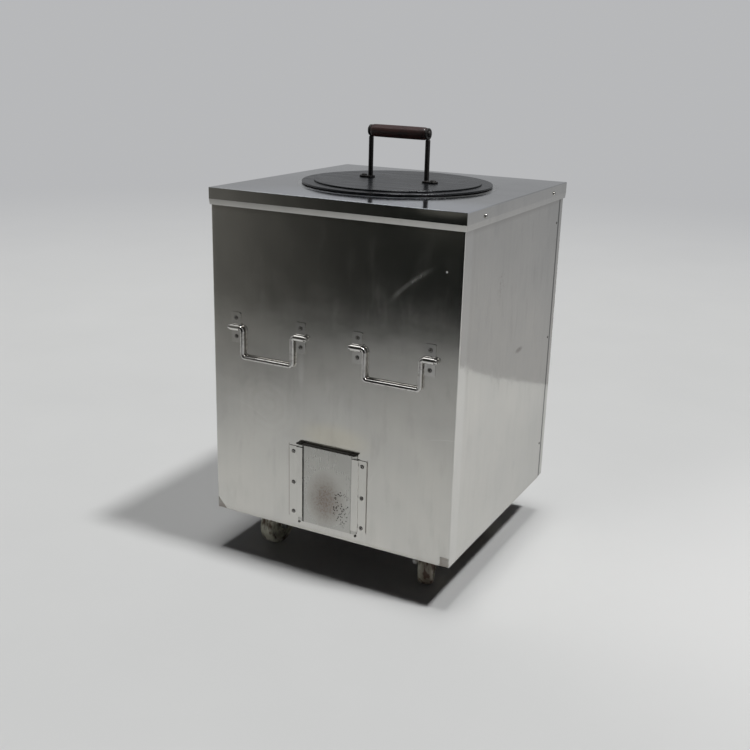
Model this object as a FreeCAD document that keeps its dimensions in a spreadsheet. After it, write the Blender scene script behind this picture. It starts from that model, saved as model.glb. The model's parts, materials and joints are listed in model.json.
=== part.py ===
import FreeCAD, Part
import math
import os
from types import SimpleNamespace

import Sketcher
from FreeCAD import Placement, Rotation, Vector

# A charcoal tandoor: a tapering clay pot packed in insulation inside a square
# stainless steel casing on four swivel castors. The origin is on the floor at the
# centre of the footprint, the draught door faces -Y and +X is to its right.

doc = FreeCAD.newDocument("ClayTandoor")

DIMENSIONS = {
    # folded stainless sheet: top cap, three-sided casing and rear panel
    "cap_width": 600, "cap_top": 852, "sheet": 1.5, "skirt_depth": 37,
    "skirt_crease": 24.7, "skirt_tuck": 1.2, "cap_hole_radius": 192, "cap_edge_radius": 1.4,
    "casing_width": 594, "casing_foot": 105, "casing_end": 263.5, "fold_radius": 3,
    "return_depth": 60, "rim_gap": 0.1,
    # welded steel frame inside the casing
    "frame_width": 588, "angle": 4, "base_angle_width": 25, "top_angle_width": 30,
    "post_width": 30, "post_wall": 3, "plate_bottom": 136, "plate_thickness": 4,
    "bearer_width": 110, "bearer_thickness": 8,
    # clay pot, hearth, insulation and grate
    "hearth_width": 536, "hearth_thickness": 32, "pot_rim_height": 854.5,
    "pot_mouth_radius": 150, "pot_rim_radius": 186, "pot_neck_height": 40,
    "pot_belly_radius": 252, "pot_foot_radius": 238, "pot_wall": 35, "pot_belly_height": 210,
    "packing_width": 576, "packing_gap": 0.5,
    "duct_clearance": 1, "grate_radius": 138, "grate_thickness": 10, "grate_height": 250,
    "grate_slot_width": 10, "grate_slot_pitch": 24, "grate_rim": 34, "grate_slot_step": 16.64,
    "grate_foot_radius": 8, "grate_foot_circle": 118,
    # draught opening, its duct, the sliding door and the door's rails
    "draught_width": 112, "draught_height": 110, "duct_wall": 2, "duct_end": 222,
    "door_half_width": 74.5, "door_foot": 125.3, "door_top": 313, "door_thickness": 2,
    "door_gap": 0.4, "door_lip": 9.6, "door_bend": 2.6, "rail_foot": 135, "rail_length": 168,
    "rail_inner": 62, "rail_step": 76, "rail_outer": 98, "rail_lift": 2.9, "rail_bend": 1.4,
    "rail_rivet_x": 86.5, "rail_rivet_low": 145, "rail_rivet_mid": 216, "rail_rivet_high": 290,
    "stop_x": 72, "stop_height": 122,
    # blind rivets and screws
    "rivet_radius": 2.4, "rivet_hole_radius": 2.45, "rivet_head_radius": 4.4,
    "rivet_head_height": 1.9, "rivet_bulge": 1.3, "stop_head_radius": 3, "stop_head_height": 2.6,
    "seam_rivet_y": 256, "seam_rivet_head": 3, "seam_rivet_height": 0.8,
    "seam_rivet_low": 201, "seam_rivet_mid": 480, "seam_rivet_high": 760,
    "screw_y": 209, "screw_drop": 17.4, "screw_radius": 2.5, "screw_hole_radius": 2.6,
    "screw_head_radius": 4.5, "screw_head_height": 3, "screw_length": 12,
    # bail handles in their strap clips
    "bail_x": 152, "bail_height": 552, "bail_radius": 5, "bail_standoff": 5.8,
    "bail_half_grip": 64, "bail_drop": 66, "bail_half_length": 101, "bail_bend": 7.2,
    "clip_x": 83, "clip_width": 23.5, "clip_half_height": 34, "clip_rivet_z": 21.2,
    "bail_end_round": 1.2, "clip_clearance": 0.4,
    # lift-off lid on its mouth ring
    "ring_radius": 214.5, "ring_hole_radius": 152, "ring_thickness": 4, "lid_radius": 189,
    "lid_thickness": 3, "lid_turn": -5, "lid_shift": 3, "leg_x": 74, "leg_radius": 5,
    "grip_height": 105.4,
    "grip_radius": 14, "grip_edge": 3, "eye_radius": 12.5, "eye_thickness": 5,
    "foot_width": 22, "foot_length": 17, "foot_thickness": 4, "grip_rod_radius": 3,
    "grip_rod_play": 0.2, "grip_play": 0.5, "nut_bore": 3, "dome_radius": 6.5, "dome_height": 4.5,
    "foot_rivet_radius": 3, "foot_rivet_height": 3.5, "foot_tail_radius": 5,
    "foot_tail_height": 2.5,
    # swivel castors
    "castor_x": 192, "castor_y": 167, "castor_trail": 32, "wheel_radius": 50,
    "wheel_half_width": 17.5, "wheel_round": 7, "wheel_rim": 12, "wheel_slope": 2,
    "wheel_dish": 9.5, "hub_radius": 17, "hub_half_width": 19.5, "axle_radius": 5,
    "axle_play": 0.1, "axle_hex_width": 16, "axle_head_height": 6, "axle_nut_height": 8,
    "axle_tail": 10, "fork_half_gap": 19.8, "fork_wall": 3, "fork_boss": 13, "fork_toe": 14,
    "fork_back": 24, "fork_nose": 31, "crown_bottom": 110, "crown_thickness": 4,
    "race_top": 118, "race_radius": 25, "race_cup": 27, "race_gap": 0.4,
    "castor_height": 128, "castor_plate": 3, "castor_plate_length": 100,
    "castor_plate_width": 80, "castor_plate_corner": 6, "castor_bolt_x": 40,
    "castor_bolt_y": 30, "bolt_radius": 4, "bolt_play": 0.3, "bolt_head_width": 13,
    "bolt_head_height": 5.3, "kingpin_radius": 6, "kingpin_play": 0.2,
    "kingpin_head_radius": 11, "kingpin_head_height": 4, "kingpin_edge": 1.5,
    "front_left_turn": -4, "front_right_turn": 20, "rear_left_turn": -9, "rear_right_turn": 13,
}

sheet = doc.addObject("Spreadsheet::Sheet", "Sizes")
for row, (alias, number) in enumerate(DIMENSIONS.items(), start=1):
    sheet.set(f"A{row}", alias)
    sheet.set(f"B{row}", str(number))
    sheet.setAlias(f"B{row}", alias)
doc.recompute()


class Dim:
    """A number together with the spreadsheet formula that it comes from."""

    def __init__(self, number, formula):
        self.number = float(number)
        self.formula = str(formula)

    def __add__(self, other):
        other = dim(other)
        return Dim(self.number + other.number, f"({self.formula} + {other.formula})")

    def __sub__(self, other):
        other = dim(other)
        return Dim(self.number - other.number, f"({self.formula} - {other.formula})")

    def __mul__(self, other):
        other = dim(other)
        return Dim(self.number * other.number, f"({self.formula} * {other.formula})")

    def __truediv__(self, other):
        other = dim(other)
        return Dim(self.number / other.number, f"({self.formula} / {other.formula})")

    def __radd__(self, other):
        return dim(other) + self

    def __rsub__(self, other):
        return dim(other) - self

    def __rmul__(self, other):
        return dim(other) * self

    def __neg__(self):
        return Dim(-self.number, f"(0 - {self.formula})")


def dim(value):
    return value if isinstance(value, Dim) else Dim(value, f"({float(value)!r})")


def sine(angle):
    return Dim(math.sin(math.radians(angle.number)), f"sin({angle.formula} * 1deg)")


def cosine(angle):
    return Dim(math.cos(math.radians(angle.number)), f"cos({angle.formula} * 1deg)")


size = SimpleNamespace(**{alias: Dim(number, f"Sizes.{alias}")
                          for alias, number in DIMENSIONS.items()})

UP = Vector(0, 0, 1)
nodes = []


def bind(thing, path, value):
    thing.setExpression(path, dim(value).formula)


def place(thing, x=0, y=0, z=0, turn=None, axis=UP, flip=None):
    """Put a piece at x, y, z, turned about an axis by an angle from the sheet."""
    start = Rotation() if flip is None else flip
    if turn is not None:
        start = Rotation(axis, turn.number) * start
    thing.Placement = Placement(Vector(dim(x).number, dim(y).number, dim(z).number), start)
    for letter, value in zip("xyz", (x, y, z)):
        bind(thing, f"Placement.Base.{letter}", value)
    return thing


def keep(thing, label):
    """Name a finished piece and list it as a node of the model."""
    thing.Label = label
    nodes.append(thing)
    return thing


# ---- sketches -------------------------------------------------------------

def new_body(label):
    return doc.addObject("PartDesign::Body", label)


def new_sketch(body, plane="XY", offset=0):
    """A sketch on one of the body's own origin planes, moved along its normal."""
    sketch = body.newObject("Sketcher::SketchObject", f"{body.Name}_sketch")
    datum = [item for item in body.Origin.OriginFeatures if item.Role == f"{plane}_Plane"][0]
    sketch.AttachmentSupport = (datum, [""])
    sketch.MapMode = "FlatFace"
    bind(sketch, "AttachmentOffset.Base.z", offset)
    return sketch


def tie(sketch, name, value, kind, *where):
    """Add a dimension to a sketch and bind it to its formula."""
    value = dim(value)
    index = sketch.addConstraint(Sketcher.Constraint(kind, *where, value.number))
    label = f"{name}_{index}_"
    sketch.renameConstraint(index, label)
    sketch.setExpression(f"Constraints.{label}", value.formula)


def tie_point(sketch, x, y, geometry, corner):
    tie(sketch, "across", x, "DistanceX", -1, 1, geometry, corner)
    tie(sketch, "along", y, "DistanceY", -1, 1, geometry, corner)


def circle(sketch, x, y, radius):
    centre = Vector(dim(x).number, dim(y).number, 0)
    index = sketch.addGeometry(Part.Circle(centre, UP, dim(radius).number), False)
    tie_point(sketch, x, y, index, 3)
    tie(sketch, "radius", radius, "Radius", index)


def outline(sketch, corners, closed=True):
    """Straight runs through corners (x, y), rounded where a corner gives a radius."""
    points = [Vector(dim(corner[0]).number, dim(corner[1]).number, 0) for corner in corners]
    radii = [corner[2] if len(corner) > 2 else None for corner in corners]
    count = len(points)
    runs = count if closed else count - 1
    trims = [0.0] * count
    for index, radius in enumerate(radii):
        if radius is not None:
            before = (points[index] - points[index - 1]).normalize()
            after = (points[(index + 1) % count] - points[index]).normalize()
            trims[index] = dim(radius).number * math.tan(before.getAngle(after) / 2)
    lines = []
    for index in range(runs):
        follow = (index + 1) % count
        along = (points[follow] - points[index]).normalize()
        start = points[index] + along * trims[index]
        end = points[follow] - along * trims[follow]
        lines.append(sketch.addGeometry(Part.LineSegment(start, end), False))
    for index, (x, y, *_) in enumerate(corners):
        open_start = not closed and index == 0
        open_end = not closed and index == count - 1
        before = None if open_start else lines[index - 1]
        after = None if open_end else lines[index]
        if radii[index] is None:
            if before is not None and after is not None:
                sketch.addConstraint(Sketcher.Constraint("Coincident", before, 2, after, 1))
            anchor, end = (before, 2) if after is None else (after, 1)
            tie_point(sketch, x, y, anchor, end)
            continue
        round_corner(sketch, points, index, radii[index], trims[index], before, after, x, y)


def round_corner(sketch, points, index, radius, trim, before, after, x, y):
    """Join two runs by a tangent arc whose sharp corner stays at x, y."""
    count = len(points)
    inward = (points[index] - points[index - 1]).normalize()
    outward = (points[(index + 1) % count] - points[index]).normalize()
    left = inward.cross(outward).z > 0
    normal = Vector(-inward.y, inward.x, 0) * (1 if left else -1)
    start = points[index] - inward * trim
    end = points[index] + outward * trim
    centre = start + normal * dim(radius).number
    first, last = (start, end) if left else (end, start)
    low = math.atan2(first.y - centre.y, first.x - centre.x)
    high = math.atan2(last.y - centre.y, last.x - centre.x)
    full = Part.Circle(centre, UP, dim(radius).number)
    arc = sketch.addGeometry(Part.ArcOfCircle(full, low, high), False)
    first_end, last_end = (1, 2) if left else (2, 1)
    sketch.addConstraint(Sketcher.Constraint("Tangent", before, 2, arc, first_end))
    sketch.addConstraint(Sketcher.Constraint("Tangent", arc, last_end, after, 1))
    tie(sketch, "bend", radius, "Radius", arc)
    corner = sketch.addGeometry(Part.Point(points[index]), True)
    sketch.addConstraint(Sketcher.Constraint("PointOnObject", corner, 1, before))
    sketch.addConstraint(Sketcher.Constraint("PointOnObject", corner, 1, after))
    tie_point(sketch, x, y, corner, 1)


def rectangle(sketch, left, right, low, high, radius=None):
    extra = () if radius is None else (radius,)
    outline(sketch, [(left, low, *extra), (right, low, *extra),
                     (right, high, *extra), (left, high, *extra)])


# ---- features -------------------------------------------------------------

def pad(body, sketch, length, symmetric=False, backward=False):
    feature = body.newObject("PartDesign::Pad", f"{body.Name}_pad")
    feature.Profile = sketch
    feature.SideType = "Symmetric" if symmetric else "One side"
    feature.Reversed = backward
    bind(feature, "Length", length)
    return feature


def pocket(body, sketch, length, symmetric=False, backward=False):
    """Cut a sketch into the body and make sure that it took material away."""
    before = volume_of(body)
    feature = body.newObject("PartDesign::Pocket", f"{body.Name}_pocket")
    feature.Profile = sketch
    feature.SideType = "Symmetric" if symmetric else "One side"
    feature.Reversed = backward
    bind(feature, "Length", length)
    check_cut(body, before)
    return feature


def volume_of(body):
    doc.recompute()
    return body.Shape.Volume


def check_cut(body, before):
    if not volume_of(body) < before - 0.01:
        raise RuntimeError(f"a cut in {body.Label} removed nothing")


def revolve(body, sketch, axis, groove=False):
    """Turn a sketch a whole circle about its own H_Axis or V_Axis."""
    before = volume_of(body) if groove else None
    kind = "PartDesign::Groove" if groove else "PartDesign::Revolution"
    feature = body.newObject(kind, f"{body.Name}_turning")
    feature.Profile = sketch
    feature.ReferenceAxis = (sketch, [axis])
    feature.Angle = 360
    if groove:
        check_cut(body, before)
    return feature


def fillet(body, radius, wanted):
    """Round the edges of a body's last feature that the wanted test picks."""
    doc.recompute()
    base = body.Tip
    names = [f"Edge{index}" for index, edge in enumerate(base.Shape.Edges, start=1)
             if wanted(edge)]
    feature = body.newObject("PartDesign::Fillet", f"{body.Name}_rounding")
    feature.Base = (base, names)
    bind(feature, "Radius", radius)
    return feature


def drill(body, plane, places, radius, depth, symmetric=True):
    """Round holes at (x, y) places of one origin plane."""
    sketch = new_sketch(body, plane)
    for x, y in places:
        circle(sketch, x, y, radius)
    return pocket(body, sketch, depth, symmetric=symmetric)


def plain_box(label, left, front, low, width, depth, height):
    box = doc.addObject("Part::Box", label)
    bind(box, "Length", width)
    bind(box, "Width", depth)
    bind(box, "Height", height)
    return place(box, left, front, low)


def plain_cylinder(label, radius, height, x=0, y=0, z=0, flip=None):
    cylinder = doc.addObject("Part::Cylinder", label)
    bind(cylinder, "Radius", radius)
    bind(cylinder, "Height", height)
    return place(cylinder, x, y, z, flip=flip)


def fuse(label, *parts):
    joined = doc.addObject("Part::MultiFuse", label)
    joined.Shapes = list(parts)
    return joined


def cut(label, base, tool):
    remains = doc.addObject("Part::Cut", label)
    remains.Base = base
    remains.Tool = tool
    return remains


def group(label, pattern, places):
    """Identical fasteners: one pattern piece repeated at each (x, y, z, flip)."""
    links = []
    for index, (x, y, z, flip) in enumerate(places, start=1):
        link = doc.addObject("App::Link", f"{label}_{index}")
        link.LinkedObject = pattern
        link.LinkTransform = False
        links.append(place(link, x, y, z, flip=flip))
    bundle = doc.addObject("Part::Compound", label)
    bundle.Links = links
    return keep(bundle, label)


def turned(label, corners):
    """A turned pattern piece: radius and height of each corner about its own Z axis."""
    body = new_body(label)
    sketch = new_sketch(body, "XZ")
    outline(sketch, corners)
    revolve(body, sketch, "V_Axis")
    return body


SIDES = {"left": -1, "right": 1}
ENDS = {"front": -1, "rear": 1}
TO_FRONT = Rotation(Vector(1, 0, 0), 90)
TO_REAR = Rotation(Vector(1, 0, 0), -90)
TO_RIGHT = Rotation(Vector(0, 1, 0), 90)
TO_LEFT = Rotation(Vector(0, 1, 0), -90)
OUTWARD = {"front": TO_FRONT, "rear": TO_REAR, "left": TO_LEFT, "right": TO_RIGHT}

half_cap = size.cap_width / 2
half_casing = size.casing_width / 2
half_frame = size.frame_width / 2
casing_height = size.cap_top - size.sheet - size.rim_gap - size.casing_foot
plate_top = size.plate_bottom + size.plate_thickness
pot_foot = plate_top + size.hearth_thickness
screw_height = size.cap_top - size.screw_drop
frame_top = size.cap_top - size.sheet


# ---- welded frame: bearers, base plate, angle rings and corner posts --------

for end, sign in ENDS.items():
    bearer = plain_box(f"bearer_{end}_bar", -half_frame,
                       sign * size.castor_y - size.bearer_width / 2,
                       size.plate_bottom - size.bearer_thickness,
                       size.frame_width, size.bearer_width, size.bearer_thickness)
    taps = []
    for side, hand in SIDES.items():
        for step_x in (-1, 1):
            for step_y in (-1, 1):
                taps.append(plain_cylinder(
                    f"bearer_{end}_tap", size.bolt_radius, size.bearer_thickness,
                    hand * size.castor_x + step_x * size.castor_bolt_x,
                    sign * size.castor_y + step_y * size.castor_bolt_y,
                    size.plate_bottom - size.bearer_thickness))
    keep(cut(f"base_bearer_{end}", bearer, fuse(f"bearer_{end}_taps", *taps)),
         f"base_bearer_{end}")

keep(plain_box("base_plate", -half_frame, -half_frame, size.plate_bottom,
               size.frame_width, size.frame_width, size.plate_thickness), "base_plate")


def square_ring(body, outer, inner, low, height):
    sketch = new_sketch(body, "XY", low)
    rectangle(sketch, -outer, outer, -outer, outer)
    rectangle(sketch, -inner, inner, -inner, inner)
    pad(body, sketch, height)


base_frame = keep(new_body("base_frame"), "base_frame")
square_ring(base_frame, half_frame, half_frame - size.angle, plate_top, size.base_angle_width)
square_ring(base_frame, half_frame, half_frame - size.base_angle_width, plate_top, size.angle)

top_frame = keep(new_body("top_frame"), "top_frame")
square_ring(top_frame, half_frame, half_frame - size.angle,
            frame_top - size.top_angle_width, size.top_angle_width)
square_ring(top_frame, half_frame, half_frame - size.top_angle_width,
            frame_top - size.angle, size.angle)
drill(top_frame, "YZ", [(-size.screw_y, screw_height), (size.screw_y, screw_height)],
      size.screw_hole_radius, size.cap_width)

post_face = half_frame - size.angle
post_foot = plate_top + size.angle
post_height = frame_top - size.angle - post_foot
for end, sign in ENDS.items():
    for side, hand in SIDES.items():
        post = keep(new_body(f"corner_post_{end}_{side}"), f"corner_post_{end}_{side}")
        corner = new_sketch(post, "XY", post_foot)
        inner = post_face - size.post_wall
        toe = post_face - size.post_width
        outline(corner, [(hand * post_face, sign * post_face), (hand * toe, sign * post_face),
                         (hand * toe, sign * inner), (hand * inner, sign * inner),
                         (hand * inner, sign * toe), (hand * post_face, sign * toe)])
        pad(post, corner, post_height)


# ---- hearth, clay pot, insulation and fire grate ----------------------------

hearth = keep(new_body("hearth_slab"), "hearth_slab")
hearth_plan = new_sketch(hearth, "XY", plate_top)
rectangle(hearth_plan, -size.hearth_width / 2, size.hearth_width / 2,
          -size.hearth_width / 2, size.hearth_width / 2)
pad(hearth, hearth_plan, size.hearth_thickness)


def pot_side(sketch, spare, to_axis):
    """Half section of the pot: the neck is straight, the side one long arc to the foot.

    The outer side stands off by spare. To the axis it is the space that the pot fills.
    """
    low = pot_foot
    high = size.pot_rim_height
    rim = size.pot_rim_radius + spare
    belly = size.pot_belly_radius + spare
    foot = size.pot_foot_radius + spare
    neck = size.pot_rim_height - size.pot_neck_height
    belly_level = pot_foot + size.pot_belly_height
    outer = side_arc(sketch, rim, neck, belly, belly_level, foot, low)
    neck_line = joined_line(sketch, (rim, high), (rim, neck))
    if to_axis:
        top = joined_line(sketch, (0, high), (rim, high))
        base = joined_line(sketch, (foot, low), (0, low))
        axis = joined_line(sketch, (0, low), (0, high))
        close_loop(sketch, [(top, 1, 2), (neck_line, 1, 2), (outer[0], outer[1], outer[2]),
                            (base, 1, 2), (axis, 1, 2)])
        return
    mouth = size.pot_mouth_radius
    inside = side_arc(sketch, mouth, neck, belly - size.pot_wall, belly_level,
                      foot - size.pot_wall, low)
    lip = joined_line(sketch, (mouth, high), (rim, high))
    base = joined_line(sketch, (foot, low), (foot - size.pot_wall, low))
    throat = joined_line(sketch, (mouth, neck), (mouth, high))
    close_loop(sketch, [(lip, 1, 2), (neck_line, 1, 2), (outer[0], outer[1], outer[2]),
                        (base, 1, 2), (inside[0], inside[2], inside[1]), (throat, 1, 2)])


def joined_line(sketch, start, end):
    """A run whose start is tied to its place; its end follows from the next piece."""
    places = [Vector(dim(x).number, dim(y).number, 0) for x, y in (start, end)]
    index = sketch.addGeometry(Part.LineSegment(*places), False)
    tie_point(sketch, start[0], start[1], index, 1)
    return index


def side_arc(sketch, top_x, top_y, mid_x, mid_y, low_x, low_y):
    """An arc through three places; returns it with its top end and its low end."""
    places = [Vector(dim(x).number, dim(y).number, 0)
              for x, y in ((top_x, top_y), (mid_x, mid_y), (low_x, low_y))]
    curve = Part.Arc(*places)
    index = sketch.addGeometry(curve, False)
    first = sketch.getPoint(index, 1)
    top_end, low_end = (1, 2) if first.distanceToPoint(places[0]) < 1 else (2, 1)
    middle = sketch.addGeometry(Part.Point(places[1]), True)
    tie_point(sketch, mid_x, mid_y, middle, 1)
    sketch.addConstraint(Sketcher.Constraint("PointOnObject", middle, 1, index))
    return index, top_end, low_end


def close_loop(sketch, chain):
    """Join the pieces of a closed outline, each given with its start and its end."""
    for (piece, _, end), (follow, start, _) in zip(chain, chain[1:] + chain[:1]):
        sketch.addConstraint(Sketcher.Constraint("Coincident", piece, end, follow, start))


clay_pot = keep(new_body("clay_pot"), "clay_pot")
pot_section = new_sketch(clay_pot, "XZ")
pot_side(pot_section, 0, to_axis=False)
revolve(clay_pot, pot_section, "V_Axis")
ash_hole = new_sketch(clay_pot, "XZ")
duct_half = size.draught_width / 2 + size.duct_wall
duct_height = size.draught_height + 2 * size.duct_wall
ash_half = duct_half + size.duct_clearance
rectangle(ash_hole, -ash_half, ash_half, plate_top, pot_foot + duct_height + size.duct_clearance)
pocket(clay_pot, ash_hole, half_frame, backward=True)

insulation = keep(new_body("insulation"), "insulation")
packing_plan = new_sketch(insulation, "XY", pot_foot)
half_pack = size.packing_width / 2
notch = half_frame - size.angle - size.post_width - 2 * size.packing_gap
outline(packing_plan, [(-notch, -half_pack), (notch, -half_pack), (notch, -notch),
                       (half_pack, -notch), (half_pack, notch), (notch, notch),
                       (notch, half_pack), (-notch, half_pack), (-notch, notch),
                       (-half_pack, notch), (-half_pack, -notch), (-notch, -notch)])
packing_top = frame_top - size.angle - size.packing_gap
pad(insulation, packing_plan, packing_top - pot_foot)
pot_space = new_sketch(insulation, "XZ")
pot_side(pot_space, size.packing_gap, to_axis=True)
revolve(insulation, pot_space, "V_Axis", groove=True)
duct_space = new_sketch(insulation, "XZ")
rectangle(duct_space, -(duct_half + size.packing_gap), duct_half + size.packing_gap,
          plate_top, pot_foot + duct_height + size.packing_gap)
pocket(insulation, duct_space, half_casing, backward=True)

grate = keep(new_body("fire_grate"), "fire_grate")
grate_plan = new_sketch(grate, "XY", size.grate_height - size.grate_thickness)
circle(grate_plan, 0, 0, size.grate_radius)
pad(grate, grate_plan, size.grate_thickness)
grate_feet = new_sketch(grate, "XY", pot_foot)
for index in range(3):
    bearing = dim(90 + 120 * index)
    circle(grate_feet, size.grate_foot_circle * cosine(bearing),
           size.grate_foot_circle * sine(bearing), size.grate_foot_radius)
pad(grate, grate_feet, size.grate_height - pot_foot)
slots = new_sketch(grate, "XY", size.grate_height)
for step in range(-3, 4):
    across = step * size.grate_slot_pitch
    reach = size.grate_radius - size.grate_rim - abs(step) * size.grate_slot_step
    rectangle(slots, across - size.grate_slot_width / 2, across + size.grate_slot_width / 2,
              -reach, reach)
pocket(grate, slots, size.grate_thickness)


# ---- draught duct ------------------------------------------------------------

duct = keep(new_body("draught_duct"), "draught_duct")
duct_section = new_sketch(duct, "XZ", size.duct_end)
half_draught = size.draught_width / 2
draught_foot = pot_foot + size.duct_wall
rectangle(duct_section, -duct_half, duct_half, pot_foot, pot_foot + duct_height)
rectangle(duct_section, -half_draught, half_draught, draught_foot,
          draught_foot + size.draught_height)
pad(duct, duct_section, half_casing - size.sheet - size.duct_end)


# ---- folded casing, rear panel and top cap --------------------------------------

def tray(label, end_y, fold_y, half_width):
    """A sheet folded to a shallow U: two returns and one face at fold_y."""
    body = keep(new_body(label), label)
    plan = new_sketch(body, "XY", size.casing_foot)
    inward = -1 if dim(fold_y).number > 0 else 1
    inner_fold = size.fold_radius - size.sheet
    face_y = fold_y + inward * size.sheet
    inner_half = half_width - size.sheet
    outline(plan, [(-half_width, end_y), (-half_width, fold_y, size.fold_radius),
                   (half_width, fold_y, size.fold_radius), (half_width, end_y),
                   (inner_half, end_y), (inner_half, face_y, inner_fold),
                   (-inner_half, face_y, inner_fold), (-inner_half, end_y)])
    pad(body, plan, casing_height)
    return body


casing = tray("casing_wrap", size.casing_end, -half_casing, half_casing)
doorway = new_sketch(casing, "XZ")
rectangle(doorway, -half_draught, half_draught, draught_foot,
          draught_foot + size.draught_height)
pocket(casing, doorway, half_cap, backward=True)

rear_panel = tray("rear_panel", half_casing - size.return_depth, half_casing,
                  half_casing - size.sheet)

clip_places = {}
for end, sign in ENDS.items():
    clip_places[end] = [(hand * size.bail_x + step * size.clip_x,
                         size.bail_height + rise * size.clip_rivet_z)
                        for hand in (-1, 1) for step in (-1, 1) for rise in (-1, 1)]
rail_places = [(hand * size.rail_rivet_x, level) for hand in (-1, 1)
               for level in (size.rail_rivet_low, size.rail_rivet_mid, size.rail_rivet_high)]
stop_places = [(hand * size.stop_x, size.stop_height) for hand in (-1, 1)]
seam_places = [(size.seam_rivet_y, level)
               for level in (size.seam_rivet_low, size.seam_rivet_mid, size.seam_rivet_high)]


def drill_face(body, places, radius, backward):
    """Holes through the front or the rear sheet only, seen along Y."""
    sketch = new_sketch(body, "XZ")
    for x, level in places:
        circle(sketch, x, level, radius)
    pocket(body, sketch, half_cap, backward=backward)


drill_face(casing, clip_places["front"] + rail_places + stop_places,
           size.rivet_hole_radius, backward=True)
drill_face(rear_panel, clip_places["rear"], size.rivet_hole_radius, backward=False)
screw_places = [(step * size.screw_y, screw_height) for step in (-1, 1)]
drill(casing, "YZ", screw_places + seam_places, size.screw_hole_radius, size.cap_width)
drill(rear_panel, "YZ", seam_places, size.screw_hole_radius, size.cap_width)

top_cap = keep(new_body("top_cap"), "top_cap")
crease_level = size.cap_top - size.skirt_crease
hem_level = size.cap_top - size.skirt_depth


def skirt_taper(body, half_width, kind):
    """The skirt's lower band, tucked in a little towards the casing."""
    upper = new_sketch(body, "XY", crease_level)
    rectangle(upper, -half_width, half_width, -half_width, half_width)
    tucked = half_width - size.skirt_tuck
    lower = new_sketch(body, "XY", hem_level)
    rectangle(lower, -tucked, tucked, -tucked, tucked)
    feature = body.newObject(kind, f"{body.Name}_taper")
    feature.Profile = upper
    feature.Sections = [(lower, [""])]
    feature.Ruled = True


skirt_taper(top_cap, half_cap, "PartDesign::AdditiveLoft")
cap_plan = new_sketch(top_cap, "XY", crease_level)
rectangle(cap_plan, -half_cap, half_cap, -half_cap, half_cap)
pad(top_cap, cap_plan, size.skirt_crease)
fillet(top_cap, size.cap_edge_radius,
       lambda edge: abs(edge.CenterOfMass.z - size.cap_top.number) < 0.01)
before_hollow = volume_of(top_cap)
skirt_taper(top_cap, half_cap - size.sheet, "PartDesign::SubtractiveLoft")
check_cut(top_cap, before_hollow)
cap_hollow = new_sketch(top_cap, "XY", crease_level)
inner_cap = half_cap - size.sheet
rectangle(cap_hollow, -inner_cap, inner_cap, -inner_cap, inner_cap)
pocket(top_cap, cap_hollow, size.skirt_crease - size.sheet, backward=True)
drill(top_cap, "XY", [(0, 0)], size.cap_hole_radius, 3 * size.cap_top)
drill(top_cap, "YZ", screw_places, size.screw_hole_radius, 2 * size.cap_width)


# ---- door rails, sliding draught door --------------------------------------------

def rail_profile(hand):
    flange = half_casing + size.sheet
    raised = half_casing + size.rail_lift
    return [(hand * size.rail_outer, -half_casing), (hand * size.rail_outer, -flange),
            (hand * (size.rail_step + size.sheet), -flange),
            (hand * (size.rail_step + size.sheet), -(raised + size.sheet), size.rail_bend),
            (hand * size.rail_inner, -(raised + size.sheet)),
            (hand * size.rail_inner, -raised), (hand * size.rail_step, -raised),
            (hand * size.rail_step, -half_casing)]


for side, hand in SIDES.items():
    rail = keep(new_body(f"door_rail_{side}"), f"door_rail_{side}")
    plan = new_sketch(rail, "XY", size.rail_foot)
    outline(plan, rail_profile(hand))
    pad(rail, plan, size.rail_length)
    drill(rail, "XZ", [spot for spot in rail_places if spot[0].number * hand > 0],
          size.rivet_hole_radius, 2 * size.cap_width)

door = keep(new_body("draught_door"), "draught_door")
door_back = half_casing + size.door_gap
door_face = door_back + size.door_thickness
lip_edge = door_face + size.door_lip
door_profile = new_sketch(door, "YZ")
lip_under = size.door_top - size.door_thickness
outline(door_profile, [(-door_back, size.door_foot), (-door_back, size.door_top, size.door_bend),
                       (-lip_edge, size.door_top), (-lip_edge, lip_under),
                       (-door_face, lip_under, size.door_bend - size.door_thickness),
                       (-door_face, size.door_foot)])
pad(door, door_profile, 2 * size.door_half_width, symmetric=True)


# ---- blind rivets and cap screws ----------------------------------------------

def blind_rivet(label, head_radius, head_height):
    """Dome head with the mandrel's recess; the shank holds two sheets above its tail."""
    radius = size.rivet_radius
    recess = radius * 0.55
    recess_floor = head_height * 0.35
    tail_radius = radius * 1.3
    hold = -2 * size.sheet
    tail = hold - size.rivet_bulge
    return turned(label, [(0, tail), (tail_radius, tail), (tail_radius, hold),
                          (radius, hold), (radius, 0), (head_radius, 0),
                          (head_radius * 0.93, head_height * 0.5),
                          (head_radius * 0.62, head_height * 0.95), (recess, head_height),
                          (recess, recess_floor), (0, recess_floor)])


face_rivet = blind_rivet("face_rivet", size.rivet_head_radius, size.rivet_head_height)
seam_rivet = blind_rivet("seam_rivet", size.seam_rivet_head, size.seam_rivet_height)
stop_rivet = blind_rivet("stop_rivet", size.stop_head_radius, size.stop_head_height)
clip_face = half_casing + size.sheet
for end, sign in ENDS.items():
    group(f"clip_rivets_{end}", face_rivet,
          [(x, sign * clip_face, level, OUTWARD[end]) for x, level in clip_places[end]])
group("rail_rivets", face_rivet,
      [(x, -clip_face, level, TO_FRONT) for x, level in rail_places])
group("door_stops", stop_rivet,
      [(x, -half_casing, level, TO_FRONT) for x, level in stop_places])
group("seam_rivets", seam_rivet,
      [(hand * half_casing, y, level, OUTWARD[side])
       for side, hand in SIDES.items() for y, level in seam_places])

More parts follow.
